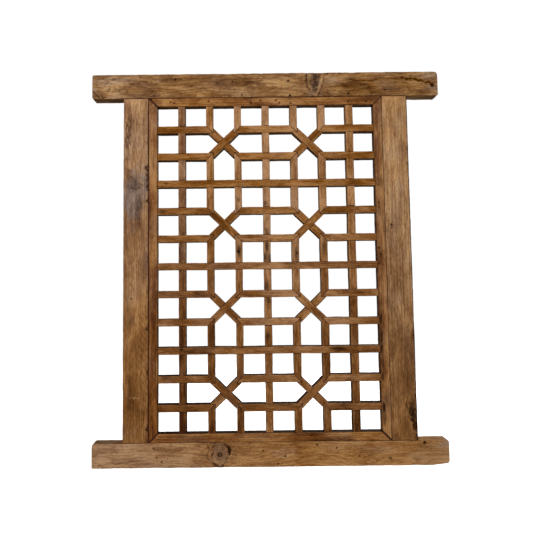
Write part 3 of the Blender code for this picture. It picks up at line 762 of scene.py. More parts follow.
class Timber:
    """A long piece with a rectangular section, as rings of points from its start to its end.

    Along runs in X or, for an upright one, in Z. Across is then Z or -X, from the middle line.
    """

    def __init__(self, name, upright, seed, front_step, arris, corners=(0, 0, 0, 0), slopes=(0, 0),
                 worn_foot=None):
        self.name = name
        self.seed = seed
        low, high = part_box(name)
        size = high - low
        self.upright = upright
        self.middle = (low + high) / 2
        self.length = size.z if upright else size.x
        self.width = size.x if upright else size.z
        self.depth = size.y
        self.start = low.z if upright else low.x
        close = arris * np.array([0, 0.35, 0.75, 1.3])
        front = spread(self.width, front_step, close) * 2 / self.width - 1
        back = spread(self.width, 3 * front_step, close) * 2 / self.width - 1
        side = spread(self.depth, 2 * front_step, close) * 2 / self.depth - 1
        section = [(a, -1.0) for a in front[:-1]] + [(1.0, d) for d in side[:-1]]
        section += [(-a, 1.0) for a in back[:-1]] + [(-1.0, -d) for d in side[:-1]]
        section = np.array(section)
        caps = [0.25, 0.5, 0.72, 0.88]
        ends = np.array([0.0, 0.5, 1.2, 2.2, 3.6]) * MM
        marks = spread(self.length, 1.1 * front_step, ends)
        ring_along = np.concatenate([np.zeros(len(caps)), marks, np.full(len(caps), self.length)])
        ring_scale = np.concatenate([caps, np.ones(len(marks)), caps[::-1]])
        self.rings, self.spokes = len(ring_along), len(section)
        along = np.repeat(ring_along, self.spokes)
        scale = np.repeat(ring_scale, self.spokes)
        unit = np.tile(section, (self.rings, 1))

        # The outline's rounded corners and worn foot narrow the section near the ends
        start_low, start_high, end_low, end_high = corners
        top = self.width / 2 - self.corner_drop(along, start_high) - self.corner_drop(self.length - along, end_high)
        foot = -self.width / 2 + self.corner_drop(along, start_low) + self.corner_drop(self.length - along, end_low)
        if worn_foot:
            worn_length, worn_height = worn_foot
            foot = foot + worn_height * smooth_step(along, self.length - worn_length, self.length)
        half = np.stack([(top - foot) / 2, np.full(len(along), self.depth / 2)], axis=1)
        centre = (top + foot) / 2

        edge = np.stack([along / (28 * MM), np.sign(unit[:, 0]) * 2.5 + 7, np.sign(unit[:, 1]) * 2.5 + 7], axis=1)
        wear = np.clip(0.9 + 1.1 * layered_noise(edge, seed + 90), 0.35, 2.6)
        radius = (arris * wear)[:, None]
        point = unit * half
        inner = np.clip(point, radius - half, half - radius)
        outward = point - inner
        outward /= np.linalg.norm(outward, axis=1, keepdims=True)
        point = (inner + outward * radius) * scale[:, None]
        point[:, 0] += centre
        self.cornerness = smooth_step(1 - np.abs(outward).max(axis=1), 0.02, 0.2)
        start_slope, end_slope = slopes
        reach = 1.2 * self.width
        near_start = np.clip(1 - along / reach, 0, 1)
        near_end = np.clip(1 - (self.length - along) / reach, 0, 1)
        mitre_start = point[:, 0] * start_slope + abs(start_slope) * (self.width / 2 - MITRE_TIGHTENING)
        mitre_end = point[:, 0] * end_slope - abs(end_slope) * (self.width / 2 - MITRE_TIGHTENING)
        self.along = along + mitre_start * near_start + mitre_end * near_end
        self.from_start = (self.along - mitre_start) / math.hypot(1, start_slope)
        self.from_end = (self.length + mitre_end - self.along) / math.hypot(1, end_slope)
        self.across = point[:, 0]
        self.behind = point[:, 1] + self.depth / 2
        self.on_front = unit[:, 1] == -1.0
        self.on_back = unit[:, 1] == 1.0
        self.unit = unit
        self.scale = scale
        self.inward = np.zeros(len(along))
        self.stain = np.zeros(len(along))
        self.grey = np.zeros(len(along))
        # Front arrises are paler: rubbed, and partly a painted highlight
        self.worn = self.cornerness * (self.behind < self.depth / 2)
        self.tone = np.full(len(along), 0.5)
        self.recess = np.zeros(len(along))
        self.joint = np.ones(len(along))
        self.ring_line = self.across.copy()

    @staticmethod
    def corner_drop(from_end, radius):
        """How far a rounded corner of the outline has dropped at a distance from the end."""
        if radius == 0:
            return np.zeros(len(from_end))
        inside = np.clip(radius - from_end, 0, radius)
        return radius - np.sqrt(radius ** 2 - inside ** 2)

    def grain_noise(self, along_size, across_size, seed, layers=3):
        places = np.stack([self.along / along_size, self.across / across_size, self.behind / across_size], axis=1)
        return layered_noise(places + 11, self.seed * 13 + seed, layers)

    def set_tones(self, places, tones):
        """Lightness at places along the piece, each given as a share of its length."""
        self.tone = np.interp(self.along / self.length, places, tones)

    def set_greying(self, places, shares):
        """Greying at places along the piece, and below zero a richer colour."""
        self.grey = np.interp(self.along / self.length, places, shares)

    def stain_side(self, side, low, high, strength):
        """Darkens the side face that looks along +across or -across, between two places."""
        lies = (self.unit[:, 0] * side == 1.0) & (self.along > low) & (self.along < high)
        self.stain += strength * lies

    def add_hole(self, along, across, radius, depth=3):
        """A worm hole, dark right to its rim. Holes, cracks, patches and strokes are given in mm."""
        radius = radius * MM
        away = np.hypot(self.along - along * MM, self.across - across * MM)
        self.inward += self.on_front * depth * MM * np.clip(1 - (away / (radius * 1.5)) ** 2, 0, 1)
        self.stain = np.maximum(self.stain, self.on_front * (1 - smooth_step(away, radius * 0.7, radius * 1.7)))

    def add_crack(self, points, width, depth, darkness=0.9):
        """A crack along a line of points, sunk and dark."""
        width = width * MM
        away = distance_to_line(self.along, self.across, points)
        self.inward += self.on_front * depth * MM * (1 - smooth_step(away, 0, width * 1.2))
        dark = self.on_front * darkness * (1 - smooth_step(away, width * 0.3, width * 1.5))
        self.stain = np.maximum(self.stain, dark)

    def add_patch(self, field, along, across, along_size, across_size, strength):
        """A soft ragged patch of staining, greying, wear or lightness."""
        ragged = 0.35 * self.grain_noise(22 * MM, 7 * MM, 50 + round(along))
        away_along = (self.along - along * MM) / (along_size * MM)
        away_across = (self.across - across * MM) / (across_size * MM)
        away = np.hypot(away_along, away_across) + ragged
        patch = strength * (1 - smooth_step(away, 0.35, 1.0)) * (self.behind < self.depth / 2)
        setattr(self, field, getattr(self, field) + patch)

    def add_stroke(self, field, points, width, strength, sunk=0.0):
        """A line drawn on the front, wandering a little: a stain, a dark seam or a pale streak."""
        width = width * MM
        wander = self.grain_noise(7 * MM, 3.5 * MM, 60 + round(points[0][0])) * width * 0.6
        away = distance_to_line(self.along, self.across, points) + wander
        share = self.on_front * (1 - smooth_step(away, width * 0.25, width * 0.8))
        setattr(self, field, getattr(self, field) + strength * share)
        self.inward += sunk * MM * share

    def add_knot(self, along, across, reach_along, reach_across, eye):
        """A round knot. The grain flows round it, its own rings are tight and its eye is dark and sunk."""
        size = math.sqrt(reach_along * reach_across)
        away_along = (self.along - along) * size / reach_along
        away_across = (self.across - across) * size / reach_across
        away = np.hypot(away_along, away_across) + 1e-9
        flow = np.minimum((size / away) ** 2, 1)
        self.ring_line -= (self.across - across) * flow
        self.ring_line += 1.6 * np.clip(size - away, 0, size)
        ragged = 1 + 0.3 * self.grain_noise(6 * MM, 6 * MM, 70)
        rim = np.exp(-((away * ragged - size) / (2.4 * MM)) ** 2)
        eye_ragged = 1 + 0.25 * self.grain_noise(3 * MM, 3 * MM, 72)
        eye_away = np.hypot(self.along - along, self.across - across) * eye_ragged
        eye_rim = np.exp(-((eye_away - eye * 0.75) / (eye * 0.35)) ** 2)
        shade = 1 - smooth_step(away * ragged, size * 0.75, size * 1.1)
        patchy = np.clip(0.5 + self.grain_noise(9 * MM, 6 * MM, 74), 0, 1)
        self.stain += self.on_front * np.clip(0.5 * rim * patchy + 0.95 * eye_rim + 0.28 * shade * patchy, 0, 1)
        self.grey += self.on_front * 0.25 * shade
        eye_core = 1 - smooth_step(eye_away, eye * 0.7, eye * 1.3)
        self.stain += self.on_front * 0.35 * eye_core
        swell = 0.5 * MM * (1 - smooth_step(away, size, size * 1.5))
        self.inward += self.on_front * (1.2 * MM * eye_core + 0.7 * MM * rim - swell + 0.5 * MM)

    def shade_edge(self, side, gap):
        """Darkens the front arris of one side, lighter with a wider gap in mm: painted shade on an outer edge, and a
        dark joint line where the side meets another piece.
        """
        from_side = np.hypot(self.width / 2 - side * self.across, self.behind) + gap * MM
        self.joint = np.where(self.across * side > 0, np.minimum(self.joint, from_side), self.joint)

    def shade_sides_and_joints(self, low=None, high=None, ends=None, low_joint=True, high_joint=True, top_shade=0, gap=0.0):
        """Painted shade fills the low and the high side, which face a joint or an opening, from and to places along,
        deepening from the front edge to the back, and a dark joint line runs along the front arris of each joined side.

        Ends gives in mm how much wider the dark line at the start and the end is, and a gap makes the
        others finer.
        """
        dark = np.zeros(len(self.along), bool)
        from_side = np.hypot(self.width / 2 - np.abs(self.across), self.behind) + gap * MM
        for side, reach, joined in ((DOWN, low, low_joint), (UP, high, high_joint)):
            if reach is None:
                continue
            lies = (self.along > reach[0]) & (self.along < reach[1])
            dark |= (self.unit[:, 0] * side > 0.5) & lies
            if joined:
                beside = lies & (self.across * side > 0)
                self.joint = np.where(beside, np.minimum(self.joint, from_side), self.joint)
        if ends:
            dark |= self.scale < 1
            from_cut = np.minimum(self.from_start - ends[0] * MM, self.from_end - ends[1] * MM)
            self.joint = np.minimum(self.joint, from_cut)
        top_shade = top_shade * ((self.unit[:, 0] > 0.5) & (self.behind > 0.8 * MM))
        self.recess = np.where(dark, self.behind + top_shade, self.recess)

    def build(self, slot, ring_gain=0.6, ring_wander=14 * MM, roughness=0.35 * MM, wood=None):
        """Dents, saw marks and grain relief go on, and the piece becomes a mesh in its place."""
        dents = self.grain_noise(38 * MM, 9 * MM, 1) * roughness
        ridges = self.grain_noise(60 * MM, 2.6 * MM, 4, 2) * roughness * 0.5
        inward = self.inward + self.on_front * np.maximum(dents + ridges + 0.35 * roughness, -0.2 * MM)
        depth = self.behind - self.depth / 2 + inward - self.on_back * np.abs(dents) * 1.5
        sideways = (self.unit[:, 0] * (np.abs(self.unit[:, 0]) == 1.0)) * -np.abs(dents) * 1.2
        across = self.across + sideways
        end_wear = self.grain_noise(6 * MM, 3 * MM, 9) * 0.6 * MM * (self.scale < 1)
        middle_share = np.sign(self.length / 2 - self.along)
        along = self.along + np.abs(end_wear) * middle_share
        across = np.clip(across, -self.width / 2, self.width / 2)

        if self.upright:
            places = np.stack([self.middle.x - across, self.middle.y + depth, self.start + along], axis=1)
        else:
            places = np.stack([self.start + along, self.middle.y + depth, self.middle.z + across], axis=1)
        first, last = places[:self.spokes].mean(axis=0), places[-self.spokes:].mean(axis=0)
        count = len(places)
        ring = np.arange(self.rings - 1)[:, None] * self.spokes
        spoke = np.arange(self.spokes)[None, :]
        next_spoke = (spoke + 1) % self.spokes
        quads = np.stack([ring + spoke, ring + self.spokes + spoke, ring + self.spokes + next_spoke,
                          ring + next_spoke], axis=2).reshape(-1, 4)
        tail = count - self.spokes
        fans = [(count, k, (k + 1) % self.spokes) for k in range(self.spokes)]
        fans += [(count + 1, tail + (k + 1) % self.spokes, tail + k) for k in range(self.spokes)]
        mesh = bpy.data.meshes.new(self.name)
        mesh.from_pydata(np.vstack([places, first, last]).tolist(), [], quads.tolist() + fans)

        wander = self.grain_noise(190 * MM, 45 * MM, 20, 2) * ring_wander
        rings = self.ring_line * ring_gain + 0.7 * self.behind + wander
        shift = self.seed * 0.37
        grain = np.stack([self.along + shift, self.behind + shift, self.ring_line * 0.5 + self.across * 0.5], axis=1)
        recess = np.where(self.on_back & (self.recess > 0), 1.2 * MM, self.recess)
        marks = np.stack([np.clip(self.stain, 0, 1), np.clip(self.grey, -1, 1), np.clip(self.worn, 0, 1)], axis=1)
        for label, values in ((GRAIN, grain), (MARKS, marks), (RINGS, rings), (RECESS, recess), (JOINT_AND_ARRIS_SHADE, self.joint),
                              (TONE, self.tone)):
            self.store(mesh, label, "FLOAT_VECTOR" if values.ndim == 2 else "FLOAT", values)
        mesh.materials.append(WOODS[wood or slot])
        mesh.shade_smooth()
        piece = bpy.data.objects.new(self.name + "_timber", mesh)
        bpy.context.scene.collection.objects.link(piece)
        finish_piece(piece, self.name)
        return piece

    def store(self, mesh, name, kind, values):
        """Keeps a value for each point, with the two end points taking their ring's mean."""
        first, last = values[:self.spokes].mean(axis=0), values[-self.spokes:].mean(axis=0)
        values = np.concatenate([values, [first], [last]]).astype(np.float32)
        attribute = mesh.attributes.new(name, kind, "POINT")
        attribute.data.foreach_set("vector" if kind == "FLOAT_VECTOR" else "value", values.ravel())


BEAM_STEP = 1.35 * MM
STILE_STEP = 1.6 * MM
STRIP_STEP = 1.7 * MM
WHOLE_LENGTH = (-1, 2)


def horn_length(beam):
    """How far a beam reaches past each stile."""
    return (beam.length - (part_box("stile_right")[1].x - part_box("stile_left")[0].x)) / 2


def make_head_beam():
    beam = Timber("head_beam", False, 1, BEAM_STEP, 1.8 * MM, corners=(4 * MM, 4 * MM, 3 * MM, 9 * MM))
    beam.set_tones([0, 0.12, 0.3, 0.45, 0.6, 0.72, 0.9, 1], [0.50, 0.50, 0.50, 0.50, 0.54, 0.52, 0.58, 0.60])
    beam.set_greying([0, 0.1, 0.3, 0.6, 0.75, 0.95, 1], [0.1, 0.05, -0.05, 0.0, -0.08, -0.05, 0.1])
    for hole in [
            (216, 18, 2.8), (156, -13, 1.8), (371, -11, 1.6), (365, 10, 1.8), (332, -10, 1.5), (510, 11, 2.4),
            (762, -16, 2.0), (612, 29, 1.8), (666, -24, 2.4), (727, -25, 1.8), (389, -25, 2.0), (514, -28, 2.2),
            (885, -5, 4.2), (151, -8, 1.3), (125, 23, 1.2)]:
        beam.add_hole(*hole)

    # The long shake near the right end is faint, then brown and open. The other cracks are a slanting
    # split under it and two splits at the left end
    faint = [(650, 10), (669, 12), (694, 10), (713, 9), (727, 8), (732, 11), (740, 13), (752, 16), (762, 13.5),
             (779, 15), (788, 15.5), (796, 17), (808, 16)]
    open_shake = [(808, 16), (815, 12.5), (830, 12.5), (837, 13), (848, 9), (858, 8), (868, 1), (876, 2.5), (884, -2)]
    for crack in [
            (faint, 1.1, 1.0, 0.3), (open_shake, 1.4, 1.8, 0.45), ([(818, -4), (822, -12), (828, -23)], 1.2, 1.2, 0.6),
            ([(4, -13), (11, -21), (19, -30)], 1.3, 1.6), ([(24, -19), (27, -30), (34, -28)], 1.5, 1.2)]:
        beam.add_crack(*crack)
    for line, width, strength in ((faint, 3.6, -0.24), (open_shake, 5.2, -0.5)):
        beam.add_stroke("tone", line, width, strength)
        beam.add_stroke("grey", line, width, strength)
    for stroke in [
            ("worn", [(760, 19), (782, 19), (806, 21), (832, 17), (862, 13)], 2.4, 0.7),
            ("stain", [(694, 4), (706, 0), (718, -3)], 3.0, 0.5, 0.4),
            ("worn", [(666, -15), (690, -9), (716, -5)], 2.6, 0.5),
            ("stain", [(858, 23), (875, 25), (888, 27)], 3.0, 0.4),
            ("grey", [(878, -12), (888, -11)], 12, 0.5),
            ("stain", [(330, -32), (560, -32), (775, -32)], 3.0, 0.6),
            ("stain", [(158, -26), (176, -24)], 4, 0.6, 0.4),
            ("stain", [(206, 18), (232, 19)], 4, 0.4)]:
        beam.add_stroke(*stroke)

    # A knot cut lengthwise: a dark wedge that narrows downwards, between a seam and a pale rim
    for stroke in [
            ("stain", [(558, 32), (557, 8), (559, -6)], 2.6, 0.8, 1.0),
            ("stain", [(559, -6), (572, -28)], 1.8, 0.3, 0.5),
            ("worn", [(563, 6), (569, -12), (579, -28)], 4.0, 0.9),
            ("worn", [(551, 31), (550, 8), (553, -14)], 4.0, 0.6),
            ("stain", [(580, 25), (579, 0)], 14, 0.27, 0.3),
            ("stain", [(580, 25), (579, -10)], 10, 0.27, 0.3),
            ("stain", [(580, 25), (579, -20)], 6, 0.27, 0.3),
            ("stain", [(570, 20), (569, 2), (575, -16)], 5.0, 0.4),
            ("stain", [(590, 24), (588, 8), (583, -14)], 4.0, 0.35),
            ("grey", [(580, 30), (578, -20)], 24, 0.5),
            ("worn", [(601, 31), (597, 10), (591, -8), (583, -30)], 3.6, 1.4, -0.5),
            ("stain", [(606, 31), (602, 10), (596, -8), (588, -28)], 2.2, 0.8, 0.9),
            ("worn", [(612, 26), (620, 18)], 6, 0.45),
            ("worn", [(541, 30), (533, 24)], 8, 0.9),
            ("stain", [(541, -18), (552, -24)], 3, 0.5)]:
        beam.add_stroke(*stroke)
    beam.ring_line += 1.1 * np.maximum(26 * MM - np.abs(beam.along - 580 * MM), 0)

    # Wild grain and adze marks at the left end, and pale scratches before the olive patch
    for points in ([(39, -12), (47, 0), (44, -13)], [(50, -17), (61, -8), (56, 1)], [(70, -13), (80, -5), (92, -15)],
                   [(30, 4), (40, 9), (56, 9)], [(52, 18), (70, 22), (96, 16)], [(96, 8), (112, 4), (126, 8)],
                   [(10, 1), (16, -1)], [(155, 20), (165, 17)]):
        beam.add_stroke("stain", points, 3.2, 0.42, 0.3)
    for points in ([(3, 13), (18, 9)], [(28, 17), (44, 22), (56, 25)], [(80, 18), (88, 17)], [(4, -7), (10, -13)],
                   [(22, 1), (36, 8), (70, 9)], [(63, -21), (71, -13)], [(41, -28), (77, -25)], [(158, 11), (174, 13)],
                   [(34, -4), (44, -3)], [(74, -10), (84, -11)]):
        for field, strength in (("worn", 0.8), ("grey", 0.5)):
            beam.add_stroke(field, points, 4.4, strength, -0.15)
    for points in ([(181, -2), (208, -5), (240, -9), (262, -6)], [(262, -3), (284, 2), (300, 8)],
                   [(120, 18), (150, 14), (180, 17)], [(380, 25), (400, 22), (430, 24)],
                   [(690, 24), (740, 27), (790, 26)], [(820, 24), (850, 27), (880, 25)]):
        beam.add_stroke("worn", points, 4.0, 0.6, -0.3)

    # Blotches: olive grey, orange brown and pale
    for patch in [
            ("grey", 330, 12, 50, 14, 0.15), ("grey", 50, 16, 60, 14, 0.25), ("grey", 620, 8, 36, 18, 0.25),
            ("grey", 870, 22, 40, 10, 0.35), ("grey", 180, -14, 60, 14, -0.14), ("grey", 270, -18, 60, 12, -0.12),
            ("grey", 690, -8, 70, 22, -0.12), ("grey", 820, -6, 50, 20, -0.1), ("tone", 392, 9, 46, 20, -0.36),
            ("tone", 345, 12, 34, 14, -0.16), ("tone", 692, -6, 60, 26, -0.26), ("tone", 745, -14, 40, 14, -0.10),
            ("tone", 54, 0, 60, 24, 0.16), ("tone", 141, 10, 46, 16, -0.20), ("tone", 480, 4, 50, 24, 0.14),
            ("tone", 262, -17, 54, 10, 0.16), ("tone", 224, -6, 40, 6, 0.18), ("tone", 441, 2, 30, 20, 0.26),
            ("tone", 870, 24, 40, 10, 0.30), ("tone", 826, -8, 34, 18, 0.26), ("tone", 640, 10, 34, 18, 0.08),
            ("tone", 775, -13, 44, 8, 0.16)]:
        beam.add_patch(*patch)
    horn = horn_length(beam)
    # Painted shade on the underside between the stiles, deepening towards the back, with a dark joint line along its
    # front arris
    beam.shade_sides_and_joints(low=(horn + 1 * MM, beam.length - horn - 1 * MM), gap=-0.1)
    beam.build("beam_wood")


def make_sill_beam():
    beam = Timber("sill_beam", False, 2, BEAM_STEP, 1.8 * MM, corners=(3 * MM, 6 * MM, 7 * MM, 5 * MM),
                  worn_foot=(44 * MM, 4 * MM))
    beam.set_tones([0, 0.2, 0.33, 0.45, 0.75, 1], [0.80, 0.78, 0.72, 0.70, 0.80, 0.84])
    beam.set_greying([0, 0.25, 0.45, 0.6, 0.9, 1], [0.3, 0.1, -0.1, -0.2, -0.15, 0.1])
    beam.add_knot(318 * MM, 1 * MM, 21 * MM, 31 * MM, 5.5 * MM)

    # Dark and pale fibres round the knot
    for points, width, strength in [
            ([(341, 16), (342, 2)], 5.0, 1.0), ([(350, 1), (359, -2)], 3.5, 0.9), ([(302, -20), (312, -28)], 5.5, 0.8),
            ([(286, 0), (289, -10)], 6.0, 0.45), ([(288, 22), (290, 16)], 4.0, 0.6), ([(266, 25), (267, 23)], 3.5, 0.8),
            ([(334, 24), (340, 18)], 6.0, 0.6), ([(316, -30), (324, -27)], 5.0, 0.8), ([(300, 18), (306, 26)], 3.5, 0.5),
            ([(299, -2), (302, 12)], 3.5, 0.45), ([(321, 22), (326, 12)], 3.5, 0.4),
            ([(331, -16), (336, -4)], 3.0, 0.45)]:
        beam.add_stroke("stain", points, width, strength, 0.6)
    for points, width, strength in [
            ([(350, -3), (375, -5), (399, -11), (424, -17)], 5.0, 0.9), ([(284, 12), (283, -5)], 5.0, 0.7),
            ([(343, -5), (341, -14)], 4.5, 0.8), ([(306, -17), (330, -16)], 3.0, 0.7),
            ([(334, -22), (345, -26)], 5.0, 0.6), ([(352, 14), (362, 20)], 4.0, 0.7),
            ([(250, 22), (281, 12)], 3.0, 0.5), ([(290, -20), (297, -28)], 3.0, 0.6)]:
        beam.add_stroke("worn", points, width, strength, -0.3)
    for hole in [
            (154, 17, 2.0), (162, -5, 1.6), (174, -16, 1.8), (425, 9, 1.8), (480, -5, 2.0), (463, -23, 1.8),
            (560, 22, 2.0), (608, 14, 1.6), (664, -6, 1.8), (827, 24, 3.2)]:
        beam.add_hole(*hole)
    beam.add_stroke("stain", [(735, -10), (743, -14)], 4, 0.8, 0.8)
    beam.add_stroke("worn", [(692, -15), (703, -16)], 4, 1.0, 0.3)
    for patch in [
            ("grey", 886, 20, 34, 18, 0.4), ("grey", 480, 6, 46, 14, 0.25), ("tone", 60, -4, 60, 22, 0.10),
            ("tone", 220, -6, 60, 16, 0.08), ("tone", 520, 4, 60, 18, -0.14), ("tone", 640, 10, 50, 14, -0.10),
            ("tone", 770, -4, 50, 18, 0.08)]:
        beam.add_patch(*patch)
    horn = horn_length(beam)
    # Painted shade on the top face between the stiles, deepening towards the back, with a dark joint line along its
    # front arris
    beam.shade_sides_and_joints(high=(horn + 1 * MM, beam.length - horn - 1 * MM), gap=0.2)
    beam.stain_side(UP, 0, horn, 0.55)
    beam.build("beam_wood", wood="sill_wood")


def make_left_stile():
    stile = Timber("stile_left", True, 3, STILE_STEP, 1.5 * MM)
    stile.set_tones([0, 0.2, 0.4, 0.6, 0.75, 1], [0.34, 0.40, 0.60, 0.50, 0.58, 0.62])
    stile.set_greying([0, 0.35, 0.5, 1], [-0.3, -0.25, 0.0, 0.05])

    # Bites out of the edge beside the inner strip, a nail's dot and two pale scratches
    for along, reach, strength in (
            (691, 10, 1.6), (675, 3, 1.0), (664, 3, 1.2), (642, 4, 1.3), (606, 3, 1.1), (283, 4, 1.1), (170, 3, 1.0),
            (34, 4, 1.1), (760, 2, 0.6), (455, 2, 0.6), (380, 2, 0.5)):
        bite = [(along + 7, -32), (along, -32 + reach), (along - 6, -32)]
        stile.add_stroke("stain", bite, 5.5, strength, 1.0)
    stile.add_hole(357, 11, 1.8)
    stile.add_stroke("worn", [(111, 14), (110, 4)], 4.0, 1.5)
    stile.add_stroke("worn", [(112, 2), (109, -8)], 3.2, 1.3)

    # A greyed band above the middle, slanting saw marks low down, and short dark fibres
    for patch in [
            ("grey", 620, 0, 90, 42, 1.0), ("tone", 620, 0, 84, 42, -0.14), ("tone", 810, 16, 44, 9, -0.34),
            ("tone", 765, 22, 30, 8, -0.30), ("tone", 650, 10, 30, 18, -0.14), ("tone", 600, -8, 30, 16, -0.20),
            ("tone", 560, 4, 40, 20, -0.12), ("tone", 730, -8, 60, 16, 0.12), ("tone", 840, -10, 26, 14, 0.08),
            ("tone", 430, 0, 70, 22, 0.05), ("tone", 90, -20, 50, 8, -0.12)]:
        stile.add_patch(*patch)
    for along in range(96, 96 + 12 * 19, 19):
        stile.add_stroke("stain", [(along + 30, -8), (along + 12, -20), (along, -32)], 1.9, 0.34, 0.3)
    for low, high, across, lean in ((770, 812, 27, -5), (776, 806, 22, -6), (790, 826, 18, -5), (744, 772, 27, -4),
                                    (752, 776, 20, -5), (700, 722, 24, -3)):
        fibre = [(high, across), ((low + high) / 2, across + lean / 2), (low, across + lean)]
        stile.add_stroke("stain", fibre, 2.8, 0.6)
    for points, width in (([(664, 24), (668, 14), (663, 4)], 4), ([(640, 12), (636, 0), (642, -10)], 3),
                          ([(652, -6), (646, -16), (650, -24)], 3), ([(688, 26), (684, 14)], 6)):
        stile.add_stroke("stain", points, width, 0.5, 0.3)
    # Painted shade along the outer front arris; dark joint lines beside the inner strip and at the ends; painted shade
    # on the inner side face and the end faces
    stile.shade_edge(1, 0.2)
    stile.shade_edge(-1, -1.2)
    stile.shade_sides_and_joints(low=WHOLE_LENGTH, ends=(0.2, 0.0))
    stile.build("stile_wood")


def make_right_stile():
    stile = Timber("stile_right", True, 4, STILE_STEP, 1.5 * MM)
    stile.set_tones([0, 0.3, 0.5, 0.7, 1], [0.43, 0.48, 0.70, 0.80, 0.85])
    stile.set_greying([0, 0.3, 0.6, 1], [-0.25, -0.1, 0.0, -0.15])

    # Burns and bites along the outer edge
    for along, across, length, width, strength in (
            (74, -18, 10, 12, 0.8), (62, -23, 8, 13, 1.0), (84, -26, 12, 5, 0.6), (37, -27, 6, 11, 1.1),
            (30, -31, 10, 7, 1.2), (4, -30, 9, 8, 1.3), (104, -31, 6, 4, 0.6), (250, -31, 8, 4, 0.6),
            (690, -30, 6, 4, 0.6), (728, -30, 12, 3, 0.7)):
        stile.add_stroke("stain", [(along + length, across + 2), (along - length, across - 2)], width, strength, 0.6)
    stile.add_stroke("stain", [(540, 17), (530, 17)], 2.6, 1.0, 1.5)
    for patch in [
            (760, 0, 70, 20, 0.06), (830, -12, 30, 12, -0.12), (640, 10, 60, 12, -0.08), (480, -10, 60, 14, -0.08),
            (300, 8, 70, 14, 0.06), (150, 0, 60, 20, -0.06), (690, 18, 150, 5, 0.20), (640, 1, 110, 4, 0.18),
            (776, 0, 26, 12, -0.22), (730, -14, 36, 12, -0.20), (660, 26, 80, 4, -0.16), (560, 8, 100, 4, 0.12),
            (470, 20, 90, 6, -0.14), (420, -4, 120, 4, 0.14), (230, 14, 110, 5, 0.12), (200, -8, 90, 7, -0.14),
            (70, 22, 60, 5, 0.14)]:
        stile.add_patch("tone", *patch)

    # Long dark lines of the grain
    for step in range(7):
        across = 24 - 8 * step
        low = 120 + 97 * step % 260
        stile.add_stroke("stain", [(low, across), (low + 250, across - 3), (low + 430, across + 1)], 1.7, 0.3, 0.3)
    # Painted shade along the outer front arris; painted shade on the inner side face and the end faces, with dark joint
    # lines beside the strip and at the ends
    stile.shade_edge(-1, -1.6)
    stile.shade_sides_and_joints(high=WHOLE_LENGTH, ends=(0.0, 0.0), gap=0.2)
    stile.build("stile_wood")


# Each inner strip: its mitre slopes, tones, greying, how much its mitres have opened at the start and the end in
# mm, its worm holes and its stains
STRIPS = {
    "inner_head": {
        "slopes": (-1, 1), "tones": ([0, 1], [0.63, 0.61]), "greying": (-0.05, 0.0), "open_mitres": (1.4, 0.3),
        "holes": [(56, 1), (65, -2), (155, 3), (264, -1), (266, -5), (290, 3), (330, 3), (339, -4), (368, -6),
                  (518, -2), (564, -2)],
        "stains": [(20, -2, 18, 8, 0.3), (580, 2, 20, 8, 0.3), (4, 8, 7, 5, 1.4)],
    },
    "inner_sill": {
        "slopes": (1, -1), "tones": ([0, 0.3, 1], [0.61, 0.56, 0.60]), "greying": (0.0, -0.1),
        "open_mitres": (0.9, 1.6), "holes": [],
        "stains": [(120, -2, 34, 6, 0.35), (300, 2, 40, 6, 0.3), (470, -4, 40, 5, 0.35)],
    },
    "inner_left": {
        "slopes": (-1, 1), "tones": ([0, 0.4, 0.6, 1], [0.40, 0.46, 0.64, 0.72]), "greying": (-0.1, 0.15),
        "open_mitres": (0.9, 1.4), "holes": [],
        "stains": [(846, -6, 18, 6, 0.5), (230, 2, 24, 6, 0.35), (120, -4, 26, 6, 0.4), (300, -6, 24, 5, 0.45)],
    },
    "inner_right": {
        "slopes": (1, -1), "tones": ([0, 0.3, 0.5, 1], [0.72, 0.72, 0.64, 0.62]), "greying": (0.05, 0.15),
        "open_mitres": (1.6, 0.3), "holes": [(641, 3), (594, 3), (479, 6), (463, 2), (438, 8)],
        "stains": [(650, 0, 24, 8, 0.6), (590, 4, 34, 7, 0.35), (470, 5, 26, 7, 0.15), (330, 6, 40, 6, 0.35),
                   (250, 7, 34, 5, 0.8), (190, 6, 26, 6, 0.7), (100, -2, 30, 8, 0.4), (60, 5, 30, 7, 0.6)],
    },
}


def make_strips():
    for seed, (name, strip_looks) in enumerate(STRIPS.items(), start=5):
        upright = name in ("inner_left", "inner_right")
        strip = Timber(name, upright, seed, STRIP_STEP, 1.1 * MM, slopes=strip_looks["slopes"])
        strip.set_tones(*strip_looks["tones"])
        strip.set_greying([0, 1], strip_looks["greying"])
        stains = strip_looks["stains"]
        if name == "inner_right":
            # It is paler towards the stile, and has painted shadow beside the lowest rails, where they meet it
            strip.tone -= 18 * strip.across
            low_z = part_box(name)[0].z
            stains = [((rail_z(rail) - low_z) / MM, 7, 15, 5, 0.8) for rail in range(8, ROWS)] + stains
        for stain in stains:
            strip.add_patch("stain", *stain)
        for along, across in strip_looks["holes"]:
            strip.add_hole(along, across, 2.0, 2.5)
        outer_is_high = name in ("inner_head", "inner_left")
        # Painted shade on both side faces and the ends, deeper on the sill strip's top face, with dark joint lines
        # along the outer side and at the mitres
        strip.shade_sides_and_joints(low=WHOLE_LENGTH, high=WHOLE_LENGTH, ends=strip_looks["open_mitres"],
                         low_joint=not outer_is_high, high_joint=outer_is_high,
                         top_shade=TOP_FACE_SHADE if name == "inner_sill" else 0, gap=0.1)
        strip.build("inner_frame_wood", ring_gain=0.8, ring_wander=8 * MM)


# Studio

